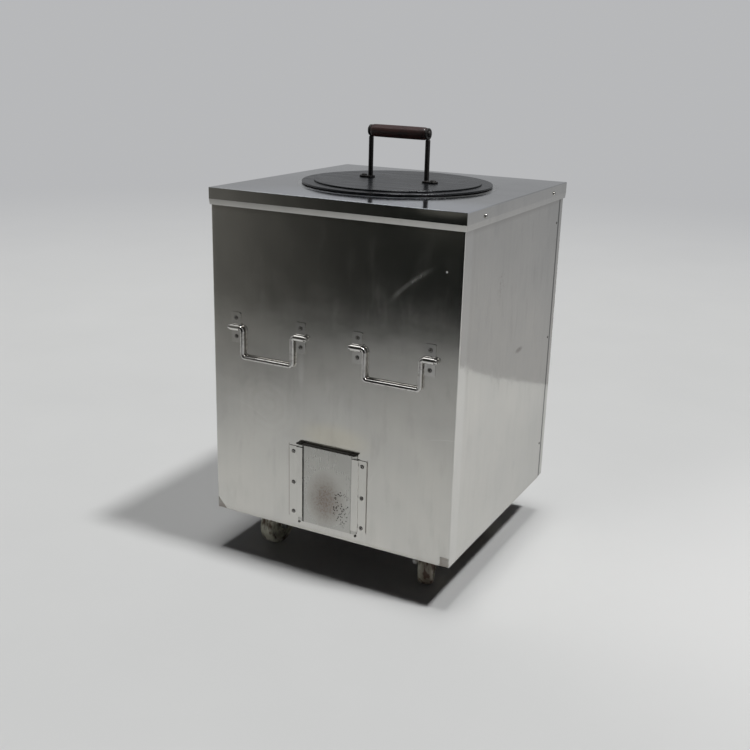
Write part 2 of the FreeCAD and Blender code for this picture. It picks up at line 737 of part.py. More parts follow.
cap_screw = turned("cap_screw", [(0, -size.screw_length), (size.screw_radius, -size.screw_length),
                                 (size.screw_radius, 0), (size.screw_head_radius, 0),
                                 (size.screw_head_radius, size.screw_head_height * 0.4),
                                 (size.screw_head_radius * 0.75, size.screw_head_height * 0.85),
                                 (size.screw_head_radius * 0.3, size.screw_head_height),
                                 (0, size.screw_head_height)])
group("cap_screws", cap_screw,
      [(hand * half_cap, y, level, OUTWARD[side])
       for side, hand in SIDES.items() for y, level in screw_places])


# ---- bail handles and their strap clips -------------------------------------------

# the flat left between two round corners that meet as a half circle
SHORT_FLAT = 0.1


def clip_strap(label):
    """A strip pressed to a loop round the bail, with a flat riveted flange each way."""
    body = new_body(label)
    profile = new_sketch(body, "YZ")
    bore = size.bail_radius + size.clip_clearance
    crown = bore + size.sheet
    wall = size.bail_standoff
    flange = wall - size.sheet
    top = size.clip_half_height
    outline(profile, [(wall, -top), (flange, -top), (flange, -crown, size.sheet),
                      (-crown, -crown, crown - SHORT_FLAT), (-crown, crown, crown - SHORT_FLAT),
                      (flange, crown, size.sheet), (flange, top), (wall, top), (wall, bore),
                      (-bore, bore, bore - SHORT_FLAT), (-bore, -bore, bore - SHORT_FLAT),
                      (wall, -bore)])
    pad(body, profile, size.clip_width, symmetric=True)
    drill(body, "XZ", [(0, -size.clip_rivet_z), (0, size.clip_rivet_z)],
          size.rivet_hole_radius, 4 * size.bail_standoff)
    return body


strap = clip_strap("clip_strap")
hinge_y = half_casing + size.bail_standoff
for end, sign in ENDS.items():
    for side, hand in SIDES.items():
        flip = Rotation() if sign < 0 else Rotation(UP, 180)
        group(f"clips_{end}_{side}", strap,
              [(hand * size.bail_x + step * size.clip_x, sign * hinge_y,
                size.bail_height, flip) for step in (-1, 1)])
        bail = keep(new_body(f"bail_{end}_{side}"), f"bail_{end}_{side}")
        route = new_sketch(bail, "XZ")
        outline(route, [(-size.bail_half_length, 0), (-size.bail_half_grip, 0, size.bail_bend),
                        (-size.bail_half_grip, -size.bail_drop, size.bail_bend),
                        (size.bail_half_grip, -size.bail_drop, size.bail_bend),
                        (size.bail_half_grip, 0, size.bail_bend),
                        (size.bail_half_length, 0)], closed=False)
        rod = new_sketch(bail, "YZ", -size.bail_half_length)
        circle(rod, 0, 0, size.bail_radius)
        sweep = bail.newObject("PartDesign::AdditivePipe", f"{bail.Name}_sweep")
        sweep.Profile = rod
        sweep.Spine = (route, [])
        fillet(bail, size.bail_end_round,
               lambda edge: abs(abs(edge.CenterOfMass.x) - size.bail_half_length.number) < 0.01)
        place(bail, hand * size.bail_x, sign * hinge_y, size.bail_height)


# ---- mouth ring and lift-off lid ---------------------------------------------------

ring = keep(new_body("mouth_ring"), "mouth_ring")
ring_plan = new_sketch(ring, "XY", size.pot_rim_height)
circle(ring_plan, 0, 0, size.ring_radius)
circle(ring_plan, 0, 0, size.ring_hole_radius)
pad(ring, ring_plan, size.ring_thickness)

lid_foot = size.pot_rim_height + size.ring_thickness + size.rim_gap
lid_top = lid_foot + size.lid_thickness
lid_parts = []

lid_disc = keep(new_body("lid_disc"), "lid_disc")
lid_plan = new_sketch(lid_disc, "XY")
circle(lid_plan, 0, 0, size.lid_radius)
rivet_x = size.leg_x + size.foot_length
for hand in (-1, 1):
    circle(lid_plan, hand * rivet_x, 0, size.foot_rivet_radius)
pad(lid_disc, lid_plan, size.lid_thickness)
lid_parts.append((lid_disc, lid_foot))

for side, hand in SIDES.items():
    name = f"lid_leg_{side}"
    bar = plain_cylinder(f"{name}_bar", size.leg_radius, size.grip_height - size.dome_radius
                         - 2 * size.grip_play, hand * size.leg_x, 0, 0)
    eye = plain_cylinder(f"{name}_eye", size.eye_radius, size.eye_thickness,
                         hand * size.leg_x - size.eye_thickness / 2, 0, size.grip_height,
                         flip=TO_RIGHT)
    inner_end = size.leg_x - size.leg_radius
    palm = plain_box(f"{name}_palm", inner_end if hand > 0 else -rivet_x,
                     -size.foot_width / 2, 0, rivet_x - inner_end, size.foot_width,
                     size.foot_thickness)
    toe = plain_cylinder(f"{name}_toe", size.foot_width / 2, size.foot_thickness,
                         hand * rivet_x, 0, 0)
    rod_hole = plain_cylinder(f"{name}_rod_hole", size.grip_rod_radius,
                              3 * size.eye_thickness,
                              hand * size.leg_x - 1.5 * size.eye_thickness, 0,
                              size.grip_height, flip=TO_RIGHT)
    toe_hole = plain_cylinder(f"{name}_toe_hole", size.foot_rivet_radius,
                              size.foot_thickness, hand * rivet_x, 0, 0)
    inner_face = hand * (size.leg_x - size.eye_thickness / 2)
    grip_space = plain_cylinder(f"{name}_grip_space", size.grip_radius + size.grip_play,
                                size.leg_radius, inner_face if hand < 0
                                else inner_face - size.leg_radius, 0,
                                size.grip_height, flip=TO_RIGHT)
    solid = fuse(f"{name}_blank", bar, eye, palm, toe)
    leg = keep(cut(name, solid, fuse(f"{name}_holes", rod_hole, toe_hole, grip_space)), name)
    lid_parts.append((leg, lid_top))

grip = keep(new_body("lid_grip"), "lid_grip")
grip_length = 2 * size.leg_x - size.eye_thickness
grip_section = new_sketch(grip, "YZ")
circle(grip_section, 0, 0, size.grip_radius)
pad(grip, grip_section, grip_length, symmetric=True)
fillet(grip, size.grip_edge, lambda edge: abs(edge.CenterOfMass.x) > size.grip_edge.number)
drill(grip, "YZ", [(0, 0)], size.grip_rod_radius + size.grip_rod_play, 2 * grip_length)
lid_parts.append((grip, lid_top + size.grip_height))

grip_rod = keep(new_body("grip_rod"), "grip_rod")
rod_reach = size.leg_x + size.eye_thickness / 2 + size.nut_bore
rod_section = new_sketch(grip_rod, "YZ")
circle(rod_section, 0, 0, size.grip_rod_radius)
pad(grip_rod, rod_section, 2 * rod_reach, symmetric=True)
lid_parts.append((grip_rod, lid_top + size.grip_height))


dome_nut = turned("dome_nut", [
    (0, size.nut_bore), (size.grip_rod_radius, size.nut_bore), (size.grip_rod_radius, 0),
    (size.dome_radius, 0), (size.dome_radius, size.dome_height * 0.35),
    (size.dome_radius * 0.8, size.dome_height * 0.75),
    (size.dome_radius * 0.4, size.dome_height * 0.97), (0, size.dome_height)])
grip_nuts = group("grip_nuts", dome_nut,
                  [(hand * (size.leg_x + size.eye_thickness / 2), 0, 0, OUTWARD[side])
                   for side, hand in SIDES.items()])
lid_parts.append((grip_nuts, lid_top + size.grip_height))

hold_depth = size.foot_thickness + size.lid_thickness
tail_end = hold_depth + size.foot_tail_height
foot_rivet = turned("foot_rivet", [
    (0, -tail_end), (size.foot_tail_radius, -tail_end), (size.foot_tail_radius, -hold_depth),
    (size.foot_rivet_radius, -hold_depth), (size.foot_rivet_radius, 0), (size.dome_radius, 0),
    (size.dome_radius * 0.85, size.foot_rivet_height * 0.57),
    (size.dome_radius * 0.45, size.foot_rivet_height * 0.91), (0, size.foot_rivet_height)])
foot_rivets = group("foot_rivets", foot_rivet,
                    [(hand * rivet_x, 0, 0, None) for hand in (-1, 1)])
lid_parts.append((foot_rivets, lid_top + size.foot_thickness))

for piece, level in lid_parts:
    place(piece, 0, size.lid_shift, level, turn=size.lid_turn)


# ---- swivel castors -------------------------------------------------------------------

def castor_plate(label):
    body = keep(new_body(label), label)
    plan = new_sketch(body, "XY", size.castor_height - size.castor_plate)
    rectangle(plan, -size.castor_plate_length / 2, size.castor_plate_length / 2,
              -size.castor_plate_width / 2, size.castor_plate_width / 2,
              size.castor_plate_corner)
    pad(body, plan, size.castor_plate)
    cup = new_sketch(body, "XY", size.race_top)
    circle(cup, 0, 0, size.race_cup)
    pad(body, cup, size.castor_height - size.castor_plate - size.race_top)
    drill(body, "XY", [(step_x * size.castor_bolt_x, step_y * size.castor_bolt_y)
                       for step_x in (-1, 1) for step_y in (-1, 1)],
          size.bolt_radius + size.bolt_play, 3 * size.castor_height)
    drill(body, "XY", [(0, 0)], size.kingpin_radius, 3 * size.castor_height)
    return body


def castor_fork(label):
    """Pressed crown with a ball race on top and two tapering legs down to the axle."""
    body = keep(new_body(label), label)
    crown_top = size.crown_bottom + size.crown_thickness
    half_width = size.fork_half_gap + size.fork_wall
    legs = new_sketch(body, "YZ")
    sole = size.wheel_radius - size.fork_boss
    toe_round = size.fork_boss - SHORT_FLAT
    outline(legs, [(size.fork_back, crown_top), (-size.fork_nose, crown_top),
                   (-size.castor_trail - size.fork_toe, sole, toe_round),
                   (-size.castor_trail + size.fork_toe, sole, toe_round)])
    pad(body, legs, 2 * half_width, symmetric=True)
    gap = new_sketch(body, "XZ")
    rectangle(gap, -size.fork_half_gap, size.fork_half_gap, 0, size.crown_bottom)
    pocket(body, gap, 4 * size.wheel_radius, symmetric=True)
    race = new_sketch(body, "XY", crown_top)
    circle(race, 0, 0, size.race_radius)
    pad(body, race, size.race_top - size.race_gap - crown_top)
    drill(body, "XY", [(0, 0)], size.kingpin_radius + size.kingpin_play, 3 * size.castor_height)
    drill(body, "YZ", [(-size.castor_trail, size.wheel_radius)], size.axle_radius,
          4 * half_width)
    return body


def castor_wheel(label):
    """Nylon wheel turned about its axle, with dished faces round the hub."""
    body = keep(new_body(label), label)
    section = new_sketch(body, "XY")
    bore = size.axle_radius + size.axle_play
    face = size.wheel_half_width
    hub = size.hub_half_width
    dish = size.wheel_half_width - size.wheel_dish
    rim = size.wheel_radius - size.wheel_rim
    web = rim - size.wheel_slope
    outline(section, [(-hub, bore), (-hub, size.hub_radius), (-dish, size.hub_radius),
                      (-dish, web), (-face, rim), (-face, size.wheel_radius, size.wheel_round),
                      (face, size.wheel_radius, size.wheel_round), (face, rim), (dish, web),
                      (dish, size.hub_radius), (hub, size.hub_radius), (hub, bore)])
    revolve(body, section, "H_Axis")
    return body


def hex_prism(body, plane_offset, width, height, backward=False):
    sketch = new_sketch(body, "XY", plane_offset)
    reach = width / math.sqrt(3)
    outline(sketch, [(reach * math.cos(math.radians(60 * index)),
                      reach * math.sin(math.radians(60 * index))) for index in range(6)])
    pad(body, sketch, height, backward=backward)


axle_bolt = new_body("axle_bolt")
axle_reach = size.fork_half_gap + size.fork_wall
shank = new_sketch(axle_bolt, "XY", -(axle_reach + size.axle_tail))
circle(shank, 0, 0, size.axle_radius)
pad(axle_bolt, shank, 2 * axle_reach + size.axle_tail)
hex_prism(axle_bolt, axle_reach, size.axle_hex_width, size.axle_head_height)

axle_nut = new_body("axle_nut")
hex_prism(axle_nut, -(axle_reach + size.axle_nut_height), size.axle_hex_width,
          size.axle_nut_height)
drill(axle_nut, "XY", [(0, 0)], size.axle_radius, 4 * axle_reach)

CASTOR_TURNS = {("front", "left"): size.front_left_turn,
                ("front", "right"): size.front_right_turn,
                ("rear", "left"): size.rear_left_turn,
                ("rear", "right"): size.rear_right_turn}
for (end, side), turn in CASTOR_TURNS.items():
    name = f"castor_{end}_{side}"
    x = SIDES[side] * size.castor_x
    y = ENDS[end] * size.castor_y
    hub_x = x + size.castor_trail * sine(turn)
    hub_y = y - size.castor_trail * cosine(turn)
    place(castor_plate(f"{name}_plate"), x, y, 0)
    place(castor_fork(f"{name}_fork"), x, y, 0, turn=turn)
    place(castor_wheel(f"{name}_wheel"), hub_x, hub_y, size.wheel_radius, turn=turn)
    axle = doc.addObject("Part::Compound", f"{name}_axle")
    pieces = []
    for pattern in (axle_bolt, axle_nut):
        link = doc.addObject("App::Link", f"{name}_{pattern.Name}")
        link.LinkedObject = pattern
        link.LinkTransform = False
        pieces.append(place(link, 0, 0, 0, flip=TO_RIGHT))
    axle.Links = pieces
    keep(axle, f"{name}_axle")
    place(axle, hub_x, hub_y, size.wheel_radius, turn=turn)

kingpin_foot = size.crown_bottom - size.race_gap - size.kingpin_head_height
kingpin = turned("kingpin", [
    (0, 0), (size.kingpin_head_radius * 0.7, 0), (size.kingpin_head_radius, size.kingpin_edge),
    (size.kingpin_head_radius, size.kingpin_head_height),
    (size.kingpin_radius, size.kingpin_head_height),
    (size.kingpin_radius, size.castor_height - kingpin_foot),
    (0, size.castor_height - kingpin_foot)])
group("castor_kingpins", kingpin,
      [(hand * size.castor_x, sign * size.castor_y, kingpin_foot, None)
       for sign in (-1, 1) for hand in (-1, 1)])

castor_bolt = new_body("castor_bolt")
hex_prism(castor_bolt, 0, size.bolt_head_width, size.bolt_head_height, backward=True)
bolt_shank = new_sketch(castor_bolt, "XY")
circle(bolt_shank, 0, 0, size.bolt_radius)
pad(castor_bolt, bolt_shank, size.castor_plate + size.bearer_thickness)
group("castor_bolts", castor_bolt,
      [(hand * size.castor_x + step_x * size.castor_bolt_x,
        sign * size.castor_y + step_y * size.castor_bolt_y,
        size.castor_height - size.castor_plate, None)
       for sign in (-1, 1) for hand in (-1, 1) for step_x in (-1, 1) for step_y in (-1, 1)])


# ---- check every object and write one file for each node -----------------------------

doc.recompute()
for item in doc.Objects:
    if {"Invalid", "Error"} & set(item.State):
        raise RuntimeError(f"{item.Label} failed: {item.State}")
for node in nodes:
    if node.Shape.isNull() or not node.Shape.isValid():
        raise RuntimeError(f"{node.Label} has no valid shape")

os.makedirs("parts", exist_ok=True)
for node in nodes:
    node.Shape.exportStep(f"parts/{node.Label}.step")
    print(f"{node.Label:28s} solids {len(node.Shape.Solids):2d} "
          f"volume {node.Shape.Volume / 1000:9.2f} cm3")
print(len(nodes), "nodes")
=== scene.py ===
import json
import math

import bmesh
import bpy
from mathutils import Matrix, Vector, noise


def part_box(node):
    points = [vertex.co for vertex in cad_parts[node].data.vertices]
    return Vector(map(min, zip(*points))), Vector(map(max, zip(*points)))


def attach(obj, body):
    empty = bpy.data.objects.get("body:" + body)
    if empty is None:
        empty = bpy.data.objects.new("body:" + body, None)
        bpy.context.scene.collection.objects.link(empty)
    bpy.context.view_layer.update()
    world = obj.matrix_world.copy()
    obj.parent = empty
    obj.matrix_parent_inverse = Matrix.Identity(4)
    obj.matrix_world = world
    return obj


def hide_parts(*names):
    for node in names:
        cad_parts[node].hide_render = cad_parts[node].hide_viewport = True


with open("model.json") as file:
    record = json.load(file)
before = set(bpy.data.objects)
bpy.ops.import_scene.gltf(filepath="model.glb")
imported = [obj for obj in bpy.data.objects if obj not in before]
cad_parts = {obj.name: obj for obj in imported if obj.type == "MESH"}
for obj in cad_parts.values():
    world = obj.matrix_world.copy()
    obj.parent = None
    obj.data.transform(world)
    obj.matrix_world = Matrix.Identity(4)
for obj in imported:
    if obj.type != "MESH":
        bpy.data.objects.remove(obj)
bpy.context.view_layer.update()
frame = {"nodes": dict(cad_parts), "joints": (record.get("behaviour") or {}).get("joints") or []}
nodes = frame["nodes"]
bpy.ops.object.select_all(action="DESELECT")


# ---- view -------------------------------------------------------------------------
# The oven is seen from its front right corner and a little above the lid, by a
# camera held in the hand, so the horizon leans a little.

VIEW_PLACE = Vector((1.0322, -2.0628, 1.1346))
VIEW_AZIMUTH = math.radians(27.55)
VIEW_DIP = math.radians(17.68)
VIEW_LEAN = math.radians(1.48)
VIEW_LENS = 48.6

back = Vector((math.sin(VIEW_AZIMUTH) * math.cos(VIEW_DIP),
               -math.cos(VIEW_AZIMUTH) * math.cos(VIEW_DIP), math.sin(VIEW_DIP)))
level = (-back).cross(Vector((0, 0, 1))).normalized()
upright = level.cross(-back)
across = level * math.cos(VIEW_LEAN) + upright * math.sin(VIEW_LEAN)
up = upright * math.cos(VIEW_LEAN) - level * math.sin(VIEW_LEAN)
bpy.ops.object.camera_add()
camera = bpy.context.object
camera.data.lens = VIEW_LENS
camera.matrix_world = (Matrix.Translation(VIEW_PLACE)
                       @ Matrix((across, up, back)).transposed().to_4x4())
bpy.context.scene.camera = camera
bpy.context.scene.view_settings.view_transform = "Standard"


# ---- studio -----------------------------------------------------------------------
# A plain pale floor under a plain pale sky, lit by a soft lamp high on the right and one
# overhead. A pale screen behind, a dim one in front and a small bright one above are met only
# by the reflections in the metal.

class Wire:
    """One socket of a finish. Sums on wires add the finish's Math nodes."""

    def __init__(self, finish, socket):
        self.finish = finish
        self.socket = socket

    def sum(self, operation, *terms):
        return self.finish.node("Math", {"operation": operation}, dict(enumerate(terms)))

    def __add__(self, other):
        return self.sum("ADD", self, other)

    def __sub__(self, other):
        return self.sum("SUBTRACT", self, other)

    def __rsub__(self, other):
        return self.sum("SUBTRACT", other, self)

    def __mul__(self, other):
        return self.sum("MULTIPLY", self, other)

    def __truediv__(self, other):
        return self.sum("DIVIDE", self, other)

    def __abs__(self):
        return self.sum("ABSOLUTE", self)

    __radd__ = __add__
    __rmul__ = __mul__


class Finish:
    """A material under construction, with its Principled shader's constants."""

    def __init__(self, name, **constants):
        self.material = bpy.data.materials.new(name)
        self.material.use_nodes = True
        self.tree = self.material.node_tree
        self.shader = self.tree.nodes["Principled BSDF"]
        for socket, value in constants.items():
            self.shader.inputs[socket.replace("_", " ")].default_value = value
        self.place = self.node("TexCoord", out="Object")
        axes = self.node("SeparateXYZ", sockets={0: self.place}).socket.node.outputs
        self.x, self.y, self.z = (Wire(self, axis) for axis in axes)

    def node(self, kind, settings=None, sockets=None, out=0):
        """Add a node, set it up, fill or link its sockets and return one output."""
        made = self.tree.nodes.new("ShaderNode" + kind)
        for name, value in (settings or {}).items():
            if name == "stops":
                self.set_stops(made.color_ramp, value)
            else:
                setattr(made, name, value)
        for name, value in (sockets or {}).items():
            if isinstance(value, Wire):
                self.tree.links.new(value.socket, made.inputs[name])
            else:
                made.inputs[name].default_value = value
        return Wire(self, made.outputs[out])

    def set_stops(self, ramp, stops):
        """Give a ramp its (place, colour) stops, at least two."""
        first, *middle, last = stops
        for element, (place, colour) in zip(ramp.elements, (first, last)):
            element.position = place
            element.color = (*colour, 1)
        for place, colour in middle:
            ramp.elements.new(place).color = (*colour, 1)

    def grain(self, spacing, detail=3.0, rough=0.55, kind="TexNoise"):
        """Noise from 0 to 1 whose marks are spacing apart, one spacing or one for each axis."""
        spread = [spacing] * 3 if isinstance(spacing, (int, float)) else spacing
        scaled = self.node("VectorMath", {"operation": "DIVIDE"}, {0: self.place, 1: spread})
        return self.node(kind, sockets={"Vector": scaled, "Scale": 1.0, "Detail": detail,
                                        "Roughness": rough})

    def above(self, wire, low, high):
        """0 below low, 1 above high and smooth between; high may be under low."""
        return self.node("MapRange", {"interpolation_type": "SMOOTHSTEP"},
                         {"Value": wire, "From Min": low, "From Max": high})

    def offset(self, centre, reach=(1, 1, 1)):
        """Where a point is from a centre, in parts of the reach along each axis."""
        away = self.node("VectorMath", {"operation": "SUBTRACT"}, {0: self.place, 1: centre})
        return self.node("VectorMath", {"operation": "DIVIDE"}, {0: away, 1: reach})

    def distance(self, centre, reach=(1, 1, 1)):
        """How far a point is from a centre, in parts of the reach along each axis."""
        return self.node("VectorMath", {"operation": "LENGTH"}, {0: self.offset(centre, reach)},
                         out="Value")

    def patch(self, centre, reach, solid=0.3):
        """1 round a place, fading to 0 at the reach along each axis."""
        return self.above(self.distance(centre, reach), 1.0, solid)

    def stripe(self, wire, centre, half):
        """1 where a wire is at a value, fading to 0 at half a width on either side."""
        return self.above(abs(wire - centre), half, half * 0.3)

    def mix(self, share, under, over):
        """One colour laid over another; a plain colour is three numbers."""
        under, over = ((*colour, 1) if isinstance(colour, tuple) else colour
                       for colour in (under, over))
        return self.node("Mix", {"data_type": "RGBA"}, {0: share, 6: under, 7: over}, out=2)

    def shade(self, colour, factor):
        """A colour made darker or lighter by a factor."""
        return self.node("VectorMath", {"operation": "SCALE"}, {0: colour, "Scale": factor})

    def relief(self, height, depth, under=None):
        """Bump of that depth in metres, on top of another relief."""
        below = {} if under is None else {"Normal": under}
        return self.node("Bump", sockets={"Height": height, "Distance": depth, **below})

    def feed(self, **wires):
        """Link wires to the sockets of the finish's shader."""
        for socket, wire in wires.items():
            self.tree.links.new(wire.socket, self.shader.inputs[socket.replace("_", " ")])

    def cover(self, share, over):
        """Lay another shader over the finish by a share."""
        surface = self.node("MixShader", sockets={0: share, 2: over})
        mixed = surface.socket.node
        self.tree.links.new(self.shader.outputs[0], mixed.inputs[1])
        self.tree.links.new(mixed.outputs[0], self.tree.nodes["Material Output"].inputs[0])

    def give(self, *names):
        """Dress CAD nodes, or pieces made here, in this finish."""
        for name in names:
            piece = bpy.data.objects[name]
            piece.data.materials.clear()
            piece.data.materials.append(self.material)


FLOOR_REACH = 80.0
FLOOR_COLOUR = (0.70, 0.705, 0.70)
FLOOR_WORN = (0.65, 0.655, 0.65)
FLOOR_PAINTED_GLOW = (0.80, 0.80, 0.795)
PAINTED_GLOW_PATCH = ((1.3, 0.3, 0), (1.0, 1.3, 1.0))
FADE_NEAR = 2.0
FADE_FAR = 7.0
SKY_COLOUR = (0.475, 0.48, 0.49)
SKY_LIGHT = 0.055
bpy.ops.mesh.primitive_plane_add(size=FLOOR_REACH)
floor = bpy.context.object
floor.name = "floor"
floor_finish = Finish("pale_floor", Roughness=0.7, Specular_IOR_Level=0.3)
floor_plain = floor_finish.mix(floor_finish.grain(0.5, 6), FLOOR_WORN, FLOOR_COLOUR)
# Right of the oven the floor is painted lighter: a painted pool of light, the glare thrown off the
# steel.
floor_finish.feed(Base_Color=floor_finish.mix(
    floor_finish.patch(*PAINTED_GLOW_PATCH), floor_plain, FLOOR_PAINTED_GLOW))
haze = floor_finish.node("Emission", sockets={"Color": (*SKY_COLOUR, 1)})
far_off = floor_finish.above(floor_finish.distance((0, 0, 0)), FADE_NEAR, FADE_FAR)
floor_finish.cover(far_off, haze)
floor_finish.give(floor.name)

sky = bpy.data.worlds.new("pale_sky")
sky.use_nodes = True
bpy.context.scene.world = sky
sky_nodes, sky_links = sky.node_tree.nodes, sky.node_tree.links
sky_ray = sky_nodes.new("ShaderNodeLightPath")
sky_seen = sky_nodes.new("ShaderNodeMath")
sky_seen.operation = "ADD"
sky_strength = sky_nodes.new("ShaderNodeMath")
sky_strength.operation = "MAXIMUM"
sky_strength.inputs[1].default_value = SKY_LIGHT
shown = sky_nodes["Background"]
shown.inputs["Color"].default_value = (*SKY_COLOUR, 1)
for socket, ray in enumerate(("Is Camera Ray", "Is Glossy Ray")):
    sky_links.new(sky_ray.outputs[ray], sky_seen.inputs[socket])
sky_links.new(sky_seen.outputs[0], sky_strength.inputs[0])
sky_links.new(sky_strength.outputs[0], shown.inputs["Strength"])

# Each lamp has the way to it, its strength and its width in degrees.
LAMPS = {"right_lamp": (Vector((0.42, 0.03, 1.0)), 1.65, 6),
         "top_lamp": (Vector((0.0, 0.0, 1.0)), 1.15, 10)}
for name, (side, strength, width) in LAMPS.items():
    bpy.ops.object.light_add(type="SUN", location=side * 3)
    lamp = bpy.context.object
    lamp.name = name
    lamp.data.energy = strength
    lamp.data.angle = math.radians(width)
    lamp.rotation_euler = side.to_track_quat("Z", "Y").to_euler()


def screen(name, low_line, width, rises, finish):
    """A sheet raised from a line across the floor, seen by mirror reflections alone."""
    middle, near, height = low_line
    bpy.ops.mesh.primitive_plane_add(size=1, location=(middle, near, height))
    board = bpy.context.object
    board.name = name
    board.scale = (width, 1, 1)
    bpy.ops.object.transform_apply(location=True, rotation=True, scale=True)
    bpy.ops.object.mode_set(mode="EDIT")
    bpy.ops.mesh.select_mode(type="EDGE")
    bpy.ops.mesh.select_all(action="SELECT")
    bpy.ops.mesh.delete(type="ONLY_FACE")
    mesh = bmesh.from_edit_mesh(board.data)
    for corner in mesh.verts:
        corner.co.y = near
    bpy.ops.mesh.select_all(action="SELECT")
    bpy.ops.mesh.remove_doubles(threshold=1e-4)
    for rise in rises:
        bpy.ops.mesh.extrude_region_move(TRANSFORM_OT_translate={"value": rise})
    bpy.ops.object.mode_set(mode="OBJECT")
    for rays in ("camera", "diffuse", "transmission", "volume_scatter", "shadow"):
        setattr(board, f"visible_{rays}", False)
    finish.give(name)


DIM_SCREEN_NEAR = -0.45
DIM_SCREEN_FAR = -1.80
DIM_SCREEN_LIFT = 0.01
DIM_SCREEN_HIGH = 5.0
DUSK_LEFT = -2.2
DUSK_WIDTH = 2.4
DUSK = [(0.0, (0.30, 0.30, 0.29)), (0.32, (0.115, 0.113, 0.105)), (0.51, (0.033, 0.033, 0.030)),
        (0.68, (0.010, 0.011, 0.010)), (1.0, (0.006, 0.007, 0.006))]
GLOW = ((-0.40, DIM_SCREEN_FAR, 0.68), (0.16, 1.0, 0.16))
GLOW_COLOUR = (0.10, 0.10, 0.09)
unlit = {"Base_Color": (0, 0, 0, 1), "Specular_IOR_Level": 0}
dim = Finish("dim_screen", Emission_Strength=1.0, **unlit)
dusk = dim.node("ValToRGB", {"stops": DUSK}, {0: (dim.x - DUSK_LEFT) / DUSK_WIDTH})
left_share = dim.above(dim.x, -0.1, -1.4) * 0.4 + 0.38
dim.feed(Emission_Color=dim.mix(dim.patch(*GLOW, 0.6), dusk, GLOW_COLOUR),
         Alpha=dim.above(dim.y, DIM_SCREEN_NEAR, DIM_SCREEN_FAR) * left_share
         + dim.above(dim.z, 0.02, 0.20) * (1.0 - left_share))
screen("dim_screen_front", (-0.4, DIM_SCREEN_NEAR, DIM_SCREEN_LIFT), 6.0,
       [(0, DIM_SCREEN_FAR - DIM_SCREEN_NEAR, 0), (0, 0, DIM_SCREEN_HIGH)], dim)

PALE_SCREEN_Y = 1.35
PALE_SCREEN_HIGH = 3.0
PALE_LOW = (0.42, 0.42, 0.42)
PALE_TOP = (0.33, 0.335, 0.345)
pale = Finish("pale_screen", Emission_Strength=1.0, **unlit)
pale.feed(Emission_Color=pale.mix(pale.above(pale.z, 0.05, 0.75), PALE_LOW, PALE_TOP))
screen("pale_screen_back", (1.2, PALE_SCREEN_Y, 0.001), 7.0, [(0, 0, PALE_SCREEN_HIGH)], pale)

BRIGHT_SCREEN_PLACE = (-1.15, -0.9, 2.8)
BRIGHT_SCREEN_WIDTH = 1.1
BRIGHT_SCREEN_DEPTH = 0.55
bright = Finish("bright_screen", Emission_Color=(1, 1, 1, 1), Emission_Strength=2.4, **unlit)
screen("bright_screen_top", BRIGHT_SCREEN_PLACE, BRIGHT_SCREEN_WIDTH,
       [(0, BRIGHT_SCREEN_DEPTH, 0)], bright)


# ---- welded frame -------------------------------------------------------------------
# Two flat bars, a base plate, two angle rings and four angle posts of mild steel, welded
# to a cage and left with their dark mill skin. Damp from the floor has rusted them.

EDGE_FILED = 0.0006
TOUCHING = 1e-6
MILL_DARK = (0.035, 0.034, 0.034)
MILL_GREY = (0.075, 0.071, 0.068)
RUST_BROWN = (0.12, 0.055, 0.028)
HANDS = (("left", -1), ("right", 1))
ENDS = (("front", -1), ("rear", 1))


def only(*pieces):
    """Select these pieces alone, with the first one active."""
    bpy.ops.object.select_all(action="DESELECT")
    for piece in pieces:
        piece.select_set(True)
    bpy.context.view_layer.objects.active = pieces[0]


def copied(name, original):
    """A copy of a piece, with a mesh of its own."""
    piece = bpy.data.objects.new(name, original.data.copy())
    bpy.context.collection.objects.link(piece)
    return piece


def weld():
    """In edit mode, select the whole mesh and merge the corners that touch."""
    bpy.ops.mesh.select_all(action="SELECT")
    bpy.ops.mesh.remove_doubles(threshold=TOUCHING)


def fit(piece, body, slot, *stands_for, smooth=30):
    """Finish a piece: its modifiers and place applied, smooth to an angle, on its body."""
    if piece.mode == "EDIT":
        bpy.ops.object.mode_set(mode="OBJECT")
    only(piece)
    for modifier in list(piece.modifiers):
        bpy.ops.object.modifier_apply(modifier=modifier.name)
    bpy.ops.object.transform_apply(location=True, rotation=True, scale=True)
    bpy.ops.object.shade_smooth_by_angle(angle=math.radians(smooth))
    even = piece.modifiers.new("even", "WEIGHTED_NORMAL")
    even.keep_sharp = True
    bpy.ops.object.modifier_apply(modifier="even")
    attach(piece, body)
    if stands_for:
        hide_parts(*stands_for)
    return piece


def ease(piece, width, segments=2, angle=35):
    """A bevel on the edges that turn by more than an angle."""
    bevel = piece.modifiers.new("eased", "BEVEL")
    bevel.width = width
    bevel.segments = segments
    bevel.limit_method = "ANGLE"
    bevel.angle_limit = math.radians(angle)
    bevel.use_clamp_overlap = False


def trued(node, body, slot, width=EDGE_FILED):
    """Copy a CAD node, weld its loose triangles to whole faces and ease its edges."""
    piece = copied(f"{node}_eased", nodes[node])
    only(piece)
    bpy.ops.mesh.customdata_custom_splitnormals_clear()
    bpy.ops.object.mode_set(mode="EDIT")
    weld()
    bpy.ops.mesh.dissolve_limited(angle_limit=math.radians(0.5))
    bpy.ops.object.mode_set(mode="OBJECT")
    ease(piece, width)
    return fit(piece, body, slot, node)


for node in ("base_bearer_front", "base_bearer_rear", "base_plate"):
    trued(node, "oven", "mild_steel")

